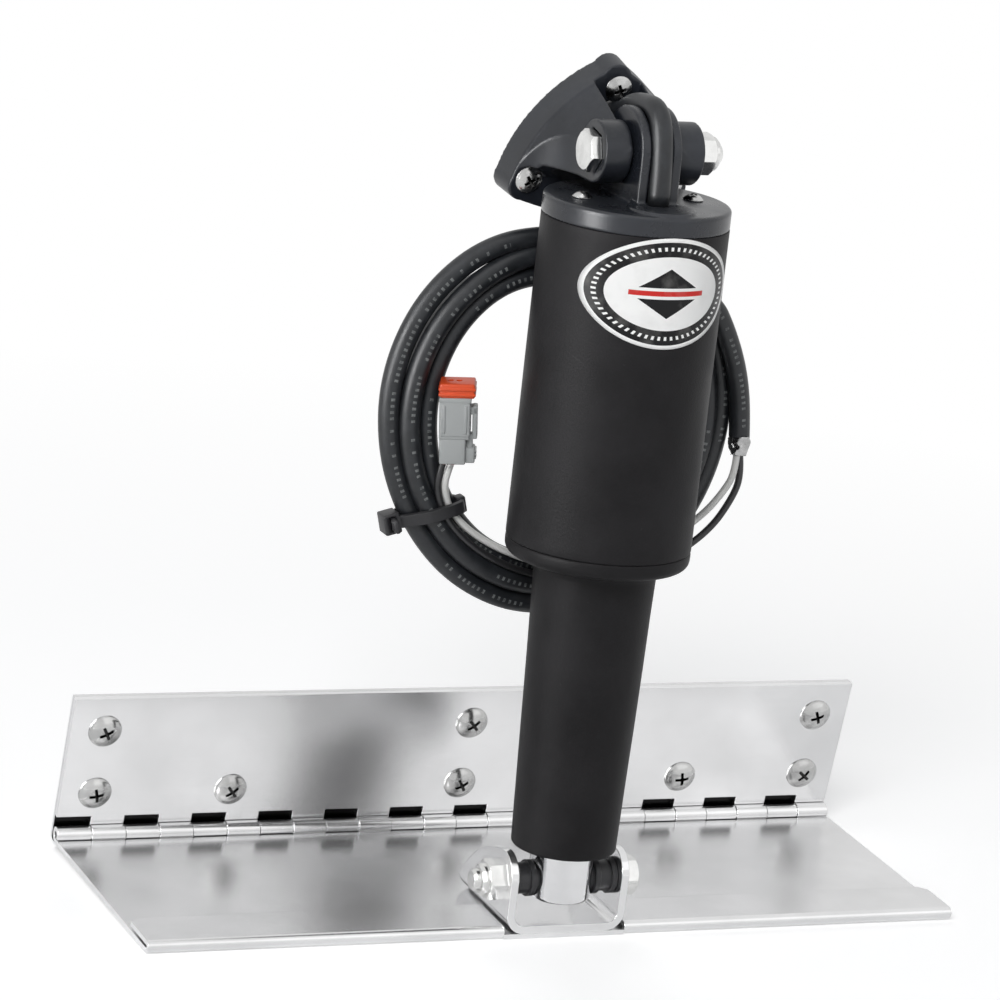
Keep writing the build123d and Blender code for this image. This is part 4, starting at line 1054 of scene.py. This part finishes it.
def crinkled_sleeve(line):
    """Short sleeve of silver film shrunk over the jacket's end, with crinkles."""
    reach = line_length(line)
    sleeve = swept("crinkled_sleeve", line, 1.0, 40, radius_at=lambda run: 3.95 - 1.3 * (run / reach) ** 2)
    for vertex in sleeve.data.vertices:
        n = noise.noise(vertex.co * 520.0)
        m = noise.noise(vertex.co * 1500.0 + Vector((3, 1, 2)))
        vertex.co += vertex.normal * (n * 0.0006 + m * 0.0002)
    return sleeve


# Boxes of the plug's shell: extent along X, Y and Z, rounding and its segments
PLUG_BOXES = [
    ("plug_front", (-6.2, 4.4), (-5.5, 5.5), (12.2, 25.9), 0.8, 4),
    ("plug_collar", (-6.25, 4.0), (-5.2, 5.2), (11.4, 12.9), 0.4, 3),
    ("plug_lip", (-6.3, 4.7), (-5.6, 5.6), (24.4, 26.0), 0.35, 3),
    ("plug_latch", (5.0, 6.7), (-2.6, 2.6), (11.0, 22.6), 0.5, 3),
    ("plug_hook", (4.2, 6.6), (-2.6, 2.6), (19.6, 22.4), 0.4, 3),
    ("plug_arm", (3.0, 5.2), (-2.2, 2.2), (6.0, 12.6), 0.4, 3),
    ("plug_thumb", (2.6, 6.0), (-3.2, 3.2), (2.6, 8.0), 0.6, 3)]
PLUG_BOXES += [("plug_grip", (5.9, 6.5), (-2.7, 2.7), (z, z + 0.6), 0.15, 2) for z in (4.0, 5.3, 6.6)]
PLUG_BOXES += [("plug_rail", (x - 0.5, x + 0.5), (-5.9, -5.2), (13.6, 23.4), 0.25, 2) for x in (-4.6, 2.8)]


def plug_pieces():
    """Two-way plug: grey body with a stepped wire end, ribs and latch, orange wedge and red wire seals."""
    def beside(obj, x):
        return place(obj, Matrix.Translation((x * MM, 0, 0)))

    base = rounded_box("plug_base", (-6.1, 2.9), (-4.9, 4.9), (2.4, 12.8), 0.7, 4)
    wedge = rounded_box("wedge_block", (-6.2, 5.8), (-5.3, 5.3), (25.8, 30.9), 0.7, 3)
    seals = []
    for x in WIRE_WELLS:
        boolean(base, beside(turned("plug_well", [(0, 1.4), (1.4, 1.4), (1.4, 5.4), (0, 5.4)], 32), x))
        hole = [(0, 29.0), (1.1, 29.0), (1.1, 33.0), (0, 33.0)]
        boolean(wedge, beside(turned("wedge_hole", hole, 28), x + 1.8))
        profile = [(1.26, 1.5), (1.4, 1.5), (1.5, 1.9), (1.38, 2.3), (1.38, 5.0), (1.26, 5.0)]
        seals.append(beside(turned("seal", profile, 28), x))
    grey = [smooth_by_angle(base, 35)] + [rounded_box(*box) for box in PLUG_BOXES]
    orange = [smooth_by_angle(wedge, 35)]
    for z in (26.6, 28.5):
        orange.append(rounded_box("wedge_rib", (-6.55, 6.1), (-5.65, 5.65), (z, z + 1.0), 0.3, 2))
    at = Matrix.Translation(PLUG_AT * MM) @ Matrix.Rotation(radians(-5.4), 4, "Y") @ Matrix.Rotation(
        radians(-24.3), 4, "Z")
    return [place(joined(name, objs), at) for name, objs in (
        ("plug_shell", grey), ("plug_wedge_piece", orange), ("plug_wire_seals", seals))]


class TRIMTAB_OT_cords(bpy.types.Operator):
    """Lay the cable over the eye and in its coil, with its tie, sleeve, wires and plug"""
    bl_idname = "trimtab.cords"
    bl_label = "Cable and plug"

    def execute(self, context):
        sizes = context.scene.trim_tab_sizes
        radius = sizes.cable_diameter / MM / 2
        wire_radius = sizes.wire_diameter / MM / 2

        over_eye = smoothed_route(EYE_LEAD)
        lead = finish_piece(swept("cable_over_eye", over_eye, radius, 28, Vector((1, 0, 0))), "cable_rubber")
        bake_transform(lead)
        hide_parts("cable_lead")

        route = smoothed_route(BACK_LEAD + coil_points(sizes.coil_turns))
        tube = swept("coiled_cable", route[::-1], radius, 20, Vector((0, -1, 0)))
        coil = finish_piece(tube, "cable_rubber")
        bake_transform(coil)
        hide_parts("cable_coil")

        sleeve_line = smoothed_route(SLEEVE_LINE, 16)
        sleeve = dress(crinkled_sleeve(sleeve_line), "shrink_plastic", "housing", "shrink_sleeve")
        tie = dress(cable_tie(215.5, radians(20)), "tie_plastic", "housing", "cable_tie")

        body, wedge, seals = plug_pieces()
        for piece, slot, node in ((body, "plug_grey", "plug_body"), (wedge, "plug_orange", "plug_wedge"),
                                  (seals, "plug_seal", "plug_seals")):
            dress(piece, slot, "housing", node)
        for name, pieces, finish in (("wire_white", [body, wedge], "wire_insulation"),
                                     ("wire_black", [seals], "wire_black")):
            line = smoothed_route(WIRE_POINTS[name])
            wire = finish_piece(swept(name, line, wire_radius, 16), "wire_insulation")
            wire.data.materials[0] = FINISHES[finish]
            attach(wire, "housing")
            if name == "wire_white":
                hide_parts("conductors")
        return {"FINISHED"}


# ---------------------------------------------------------------- screws by geometry nodes

def cross_cutter(reach, depth, top):
    """Tapered cross that cuts a driver's recess."""
    pieces = []
    for turn in (0.0, pi / 2):
        bm = bmesh.new()
        high, low = ([bm.verts.new((x * MM, y * MM, z * MM)) for x, y in ((-a, -b), (a, -b), (a, b), (-a, b))]
                     for a, b, z in ((reach, 0.62, top + 0.3), (reach * 0.3, 0.34, top - depth)))
        bm.faces.new(high)
        bm.faces.new(low[::-1])
        bridge(bm, high, low)
        arm = closed_mesh("arm", bm, smooth=False)
        pieces.append(place(arm, Matrix.Rotation(turn, 4, "Z")))
    boolean(pieces[0], pieces[1], "UNION")
    return pieces[0]


def screw_shape(name, head_radius, head_height, neck_radius, neck_length, radius, length, point, reach,
                pitch):
    """A pan-head screw, head up along Z with its bearing face at zero, with a real thread."""
    curve_radius = (head_radius ** 2 + head_height ** 2) / (2 * head_height)
    spread_angle = acos(max(-1.0, 1 - head_height / curve_radius))
    profile = [(0, head_height)]
    for step in range(1, 11):
        turn = spread_angle * step / 10
        profile.append((curve_radius * sin(turn), head_height - curve_radius * (1 - cos(turn))))
    rim = profile[-1][0]
    profile = [(r, max(z, 0.45)) if r > head_radius - 0.5 else (r, z) for r, z in profile]
    profile[-1] = (rim, 0.35)
    profile += [(rim - 0.25, 0.0), (neck_radius, 0.0), (neck_radius, -neck_length)]
    head = turned(name + "_head", profile + [(0, -neck_length)], 64)
    boolean(head, cross_cutter(reach, head_height * 0.8, head_height))
    smooth_by_angle(head, 30)
    # mark the faces inside the driver's recess, which the screws' finish darkens as painted shade
    marked = head.data.attributes.new("Recess", "FLOAT", "FACE")
    for poly in head.data.polygons:
        out = sqrt(poly.center.x ** 2 + poly.center.y ** 2) / MM
        dome = head_height - curve_radius + sqrt(max(0.0, curve_radius ** 2 - out ** 2))
        inside = out < reach + 0.1 and poly.center.z > 0 and poly.center.z / MM < dome - 0.12
        marked.data[poly.index].value = 1.0 if inside else 0.0
    # threaded shank: core, and a helical ridge
    core = radius - 0.55
    tip = -neck_length - length - point
    shank = turned(name + "_shank", [(0, -neck_length), (core, -neck_length), (core, -neck_length - length),
                                     (0.15, tip), (0, tip)], 32)
    smooth_by_angle(shank, 40)
    bm = bmesh.new()
    steps = 20
    turns = (length + point * 0.75) / pitch
    rings = []
    for index in range(int(turns * steps) + 1):
        turn = 2 * pi * index / steps
        z = -neck_length - index / steps * pitch
        into_point = max(0.0, (-z - neck_length - length) / point)
        fade = min(1.0, index / steps)
        tip = (core - 0.05) * (1 - into_point) + (radius - core + 0.05) * fade * (1 - into_point * 0.6)
        base = (core - 0.05) * (1 - into_point)
        ring = []
        for r, dz in ((base, pitch * 0.3), (tip, 0.06), (tip, -0.06), (base, -pitch * 0.3)):
            ring.append(bm.verts.new((r * cos(turn) * MM, r * sin(turn) * MM, (z + dz - pitch * 0.35) * MM)))
        rings.append(ring)
    for a, b in zip(rings, rings[1:]):
        bridge(bm, a, b)
    bm.faces.new(rings[0])
    bm.faces.new(rings[-1][::-1])
    ridge = closed_mesh(name + "_ridge", bm, smooth=False)
    return joined(name, [head, shank, ridge])


def scatter_tree(material):
    """Geometry nodes: put the fastener on every point, turned by the point's own angles, and scale it."""
    tree = bpy.data.node_groups.new("Fasteners on points", "GeometryNodeTree")
    for label, way, kind in (("Geometry", "INPUT", "Geometry"), ("Fastener", "INPUT", "Object"),
                             ("Size", "INPUT", "Float"), ("Geometry", "OUTPUT", "Geometry")):
        tree.interface.new_socket(label, in_out=way, socket_type="NodeSocket" + kind)
    given, result = tree.nodes.new("NodeGroupInput"), tree.nodes.new("NodeGroupOutput")
    points, info, angles, instance, realize, finish = (tree.nodes.new("GeometryNode" + kind) for kind in (
        "MeshToPoints", "ObjectInfo", "InputNamedAttribute", "InstanceOnPoints", "RealizeInstances",
        "SetMaterial"))
    angles.data_type = "FLOAT_VECTOR"
    angles.inputs["Name"].default_value = "angles"
    finish.inputs["Material"].default_value = material
    for source, output, target, socket in (
            (given, "Geometry", points, "Mesh"), (given, "Fastener", info, "Object"),
            (points, "Points", instance, "Points"), (info, "Geometry", instance, "Instance"),
            (angles, "Attribute", instance, "Rotation"), (given, "Size", instance, "Scale"),
            (instance, "Instances", realize, "Geometry"), (realize, "Geometry", finish, "Geometry"),
            (finish, "Geometry", result, "Geometry")):
        tree.links.new(source.outputs[output], target.inputs[socket])
    return tree


def scattered(name, fastener, matrices, slot):
    """Fasteners at the given places, as one plain mesh made through geometry nodes."""
    mesh = bpy.data.meshes.new(name)
    mesh.from_pydata([tuple(m.translation) for m in matrices], [], [])
    attribute = mesh.attributes.new("angles", "FLOAT_VECTOR", "POINT")
    for value, m in zip(attribute.data, matrices):
        value.vector = tuple(m.to_euler())
    obj = link(bpy.data.objects.new(name, mesh))
    modifier = obj.modifiers.new("Fasteners", "NODES")
    tree = scatter_tree(FINISHES[slot])
    modifier.node_group = tree
    for item in tree.interface.items_tree:
        if item.item_type == "SOCKET" and item.in_out == "INPUT":
            if item.name == "Fastener":
                modifier[item.identifier] = fastener
            elif item.name == "Size":
                modifier[item.identifier] = 1.0
    apply_modifiers(obj)
    drop(fastener)
    return obj


def at_angles(at, places):
    """The matrices of screws: a place in the piece's own frame, and the turn of the driver's recess."""
    return [at(first, second) @ Matrix.Rotation(radians(turn), 4, "Z") for first, second, turn in places]


def cap_matrix(x, y):
    return Matrix.Translation(Vector((x, PIVOT_Y + y, LOWER_Z + 240.35)) * MM)


TRANSOM_PLACES = [(-139.7, 16.0, 12), (-88.9, 16.0, 38), (0, 16.0, 30), (88.9, 16.0, 8), (139.7, 16.0, 50),
                  (-139.7, 41.0, 28), (0, 41.0, 40), (139.7, 41.0, 20)]
BRACKET_PLACES = [(0, 11.2, 20), (-26.4, -22.7, 35), (26.4, -22.7, 5)]
CAP_CIRCLE = 20.5
CAP_PLACES = [(CAP_CIRCLE * cos(radians(angle)), CAP_CIRCLE * sin(radians(angle)), turn)
              for angle, turn in ((0, 25), (90, 0), (180, 60))]


class TRIMTAB_OT_screws(bpy.types.Operator):
    """Put the cross-recessed screws in the leaf, the bracket and the cap"""
    bl_idname = "trimtab.screws"
    bl_label = "Screws"

    def execute(self, context):
        head = context.scene.trim_tab_sizes.screw_head / MM / 2
        transom = dict(head_radius=head, head_height=2.8, neck_radius=2.7, neck_length=3.4,
                       radius=2.4, length=16.0, point=5.0, reach=3.4, pitch=1.8)
        bracket = dict(head_radius=4.8, head_height=2.4, neck_radius=2.7, neck_length=12.5,
                       radius=2.25, length=5.0, point=3.6, reach=2.9, pitch=1.8)
        cap = dict(head_radius=3.55, head_height=2.2, neck_radius=2.0, neck_length=4.0,
                   radius=2.0, length=20.0, point=3.0, reach=2.0, pitch=0.8)
        for name, body, sizes, places in (
                ("transom_screw", "leaf", transom,
                 at_angles(lambda x, z: leaf_matrix(x, 1.3, z), TRANSOM_PLACES)),
                ("bracket_screw", "bracket", bracket,
                 at_angles(lambda x, z: bracket_matrix(x, 27.5, z), BRACKET_PLACES)),
                ("cap_screw", "housing", cap, at_angles(cap_matrix, CAP_PLACES))):
            screws = scattered(name + "_set", screw_shape(name, **sizes), places, "screw_steel")
            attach(screws, body)
            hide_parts(name + "s")
        return {"FINISHED"}


# ---------------------------------------------------------------- actuator

class TRIMTAB_OT_actuator(bpy.types.Operator):
    """Make the sleeve, the motor housing, the ram, the cap with its eye and the label"""
    bl_idname = "trimtab.actuator"
    bl_label = "Actuator"

    def execute(self, context):
        at = Matrix.Translation(Vector((0, PIVOT_Y, LOWER_Z)) * MM)

        def uneven(_radius, height, turn):
            p = Vector((cos(turn) * 1.3, sin(turn) * 1.3, height * 0.02))
            return 0.10 * noise.noise(p) + 0.05 * noise.noise(p * 3.1)

        # levels over the lower pivot and radii, in millimetres
        foot, taper_low, taper_high, flange_top, tube_low, tube_high = 11.6, 12.6, 114.2, 121.4, 122.0, 232.8
        mouth, low_radius, high_radius, spigot, groove, inside = 11.6, 18.3, 21.2, 28.5, 26.7, 15.5
        screw_bore, seal_seat, bearing_seat = 8.5, 14.4, 16.0
        # the tapered sleeve, its round flange, the spigot with its ring groove and the stepped inside
        outer = [(mouth, foot), (17.0, foot)] + arc_points((low_radius - 1.0, taper_low), 1.0, -90, 0, 5)
        outer += straight((low_radius, taper_low), (high_radius, taper_high), 30)
        outer += arc_points((22.6, 114.0), 1.3, 170, 90, 5)
        outer += [(25.0, 115.25), (28.4, 115.35)] + arc_points((28.6, 118.5), 3.15, -90, 0, 10)
        outer += [(HOUSING_RADIUS, 119.6), (31.75, 120.6), (31.55, 121.1), (31.2, 121.35),
                  (spigot, flange_top), (spigot, 127.0), (groove, 127.0), (groove, 129.2), (spigot, 129.2),
                  (spigot, 134.5), (bearing_seat, 134.5), (bearing_seat, 126.0), (screw_bore, 126.0),
                  (screw_bore, flange_top), (inside, flange_top), (inside, 48.0), (seal_seat, 48.0),
                  (seal_seat, 12.8), (mouth, 12.8)]
        dress(place(turned("tapered_sleeve", outer, 144, uneven), at), "housing_lower", "housing",
              "lower_housing")

        tube = [(28.6, 121.45), (31.2, 121.45)] + arc_points((31.3, 121.95), 0.5, -90, 0, 4)
        tube += straight((HOUSING_RADIUS, tube_low), (HOUSING_RADIUS, tube_high), 40)[:-1]
        tube += arc_points((31.3, 233.0), 0.5, 0, 90, 4) + [(28.6, 233.5)]
        dress(place(turned("motor_tube", tube, 160, uneven), at), "housing_upper", "housing", "motor_housing")

        ram_end, ram_top, bore, bore_floor, cross_radius, reach = -7.0, 112.0, 7.6, 13.0, 5.02, 15
        profile = [(0, ram_end), (9.3, ram_end)] + arc_points((9.5, -5.4), 1.6, -90, 0, 8) + [
            (RAM_RADIUS, 0.0), (RAM_RADIUS, ram_top), (bore, ram_top), (bore, bore_floor), (0, bore_floor)]
        ram = turned("polished_ram", profile, 160)
        cross_bore = turned("cross_bore", [(0, -reach), (cross_radius, -reach), (cross_radius, reach),
                                           (0, reach)], 64)
        boolean(ram, place(cross_bore, Matrix.Rotation(radians(90), 4, "Y")))
        dress(smooth_by_angle(place(ram, at), 40), "ram_steel", "ram", "ram")

        cap = copy_of("cap_with_eye", "top_cap", "upper_eye")
        moulded("cap_with_eye", cap, 0.42, 3)
        dress(cap, "cap_plastic", "housing", "top_cap", "upper_eye")
        dress(place(self.label_piece(), at), "label_film", "housing", "label")
        return {"FINISHED"}

    def label_piece(self):
        """Thin oval film laid round the housing, with millimetres as its UV map."""
        bm = bmesh.new()
        uv = bm.loops.layers.uv.new("Face")
        rings, around = 22, 120
        film_back, film_front = HOUSING_RADIUS + 0.04, HOUSING_RADIUS + 0.24
        layers = []
        for radius in (film_front, film_back):
            grid = []
            for ring in range(rings + 1):
                row = []
                for step in range(around):
                    turn = 2 * pi * step / around
                    x = LABEL_HALF[0] * ring / rings * cos(turn)
                    y = LABEL_HALF[1] * ring / rings * sin(turn)
                    # the oval is a straight view of the film, so it wraps by its sine
                    bend = atan2(x, sqrt(max(1e-9, HOUSING_RADIUS ** 2 - x * x)))
                    corner = (radius * sin(bend) * MM, -radius * cos(bend) * MM, (LABEL_LEVEL + y) * MM)
                    row.append((bm.verts.new(corner), (x, y)))
                    if ring == 0:
                        break
                grid.append(row)
            layers.append(grid)

        def face(corners):
            made = bm.faces.new([c[0] for c in corners])
            for loop, corner in zip(made.loops, corners):
                loop[uv].uv = corner[1]

        for step in range(around):
            after = (step + 1) % around
            for grid, way in zip(layers, (1, -1)):
                face([grid[0][0], grid[1][step], grid[1][after]][::way])
                for near, far in zip(grid[1:], grid[2:]):
                    face([near[step], far[step], far[after], near[after]][::way])
            top, under = layers[0][rings], layers[1][rings]
            face([top[step], under[step], under[after], top[after]])
        return closed_mesh("oval_label", bm)


class TRIMTAB_OT_bracket(bpy.types.Operator):
    """Make the moulded upper bracket"""
    bl_idname = "trimtab.bracket"
    bl_label = "Upper bracket"

    def execute(self, context):
        bracket = copy_of("moulded_bracket", "upper_bracket")
        moulded("moulded_bracket", bracket, 0.45, 4)
        dress(bracket, "bracket_plastic", "bracket", "upper_bracket")
        return {"FINISHED"}


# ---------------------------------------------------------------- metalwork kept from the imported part

KEPT_NODES = {
    "tab_blade": "stainless_tab", "transom_leaf": "stainless_leaf", "backing_plate": "stainless_backing",
    "lower_clevis": "stainless_clevis", "hinge_pin": "steel_pin", "lower_bolt": "bolt_steel",
    "lower_nut": "bolt_steel", "upper_bolt": "bolt_steel", "upper_nut": "bolt_steel",
    "lower_bushings": "bushing_black", "upper_bushings": "bushing_black", "ram_nut": "nut_bronze",
    "lead_screw": "drive_steel", "guide_bushing": "guide_plastic", "wiper_seal": "seal_rubber",
    "lower_seal_ring": "seal_rubber", "upper_seal_ring": "seal_rubber", "screw_bearing": "drive_steel",
    "motor_shaft": "drive_steel", "planet_gear_1": "gear_steel", "planet_gear_2": "gear_steel",
    "planet_gear_3": "gear_steel", "ring_gear": "gear_steel", "planet_carrier": "drive_steel",
    "gearbox_plate": "plate_aluminium", "motor_can": "can_steel"}


class TRIMTAB_OT_metalwork(bpy.types.Operator):
    """Give the sheet metal, the bolts and the inner drive their finishes"""
    bl_idname = "trimtab.metalwork"
    bl_label = "Metalwork"

    def execute(self, context):
        for node, slot in KEPT_NODES.items():
            obj = NODES[node]
            if not obj.material_slots:
                raise RuntimeError(node + " has no material slot")
            for material_slot in obj.material_slots:
                material_slot.material = FINISHES[slot]
        return {"FINISHED"}


class TRIMTAB_OT_finishes(bpy.types.Operator):
    """Build the shared effects and every finish"""
    bl_idname = "trimtab.finishes"
    bl_label = "Finishes"

    def execute(self, context):
        build_groups()
        build_finishes(context.scene.trim_tab_colours)
        return {"FINISHED"}


STEPS = ("finishes", "stage", "cords", "screws", "actuator", "bracket", "metalwork")


class TRIMTAB_PT_panel(bpy.types.Panel):
    """Lists the sizes, the colours and the steps"""
    bl_idname = "TRIMTAB_PT_panel"
    bl_label = "Boat trim tab"
    bl_space_type = "VIEW_3D"
    bl_region_type = "UI"
    bl_category = "Trim tab"

    def draw(self, context):
        column = self.layout.column()
        for group in (context.scene.trim_tab_sizes, context.scene.trim_tab_colours):
            for key in group.__annotations__:
                column.prop(group, key)
        for step in STEPS:
            column.operator("trimtab." + step)


CLASSES = (TrimTabSizes, TrimTabColours, TRIMTAB_OT_finishes, TRIMTAB_OT_stage, TRIMTAB_OT_cords,
           TRIMTAB_OT_screws, TRIMTAB_OT_actuator, TRIMTAB_OT_bracket, TRIMTAB_OT_metalwork, TRIMTAB_PT_panel)


def register():
    for cls in CLASSES:
        bpy.utils.register_class(cls)
    bpy.types.Scene.trim_tab_sizes = bpy.props.PointerProperty(type=TrimTabSizes)
    bpy.types.Scene.trim_tab_colours = bpy.props.PointerProperty(type=TrimTabColours)


def unregister():
    del bpy.types.Scene.trim_tab_colours
    del bpy.types.Scene.trim_tab_sizes
    for cls in reversed(CLASSES):
        bpy.utils.unregister_class(cls)


def main():
    register()
    for step in STEPS:
        getattr(bpy.ops.trimtab, step)()


if __name__ == "__main__":
    main()
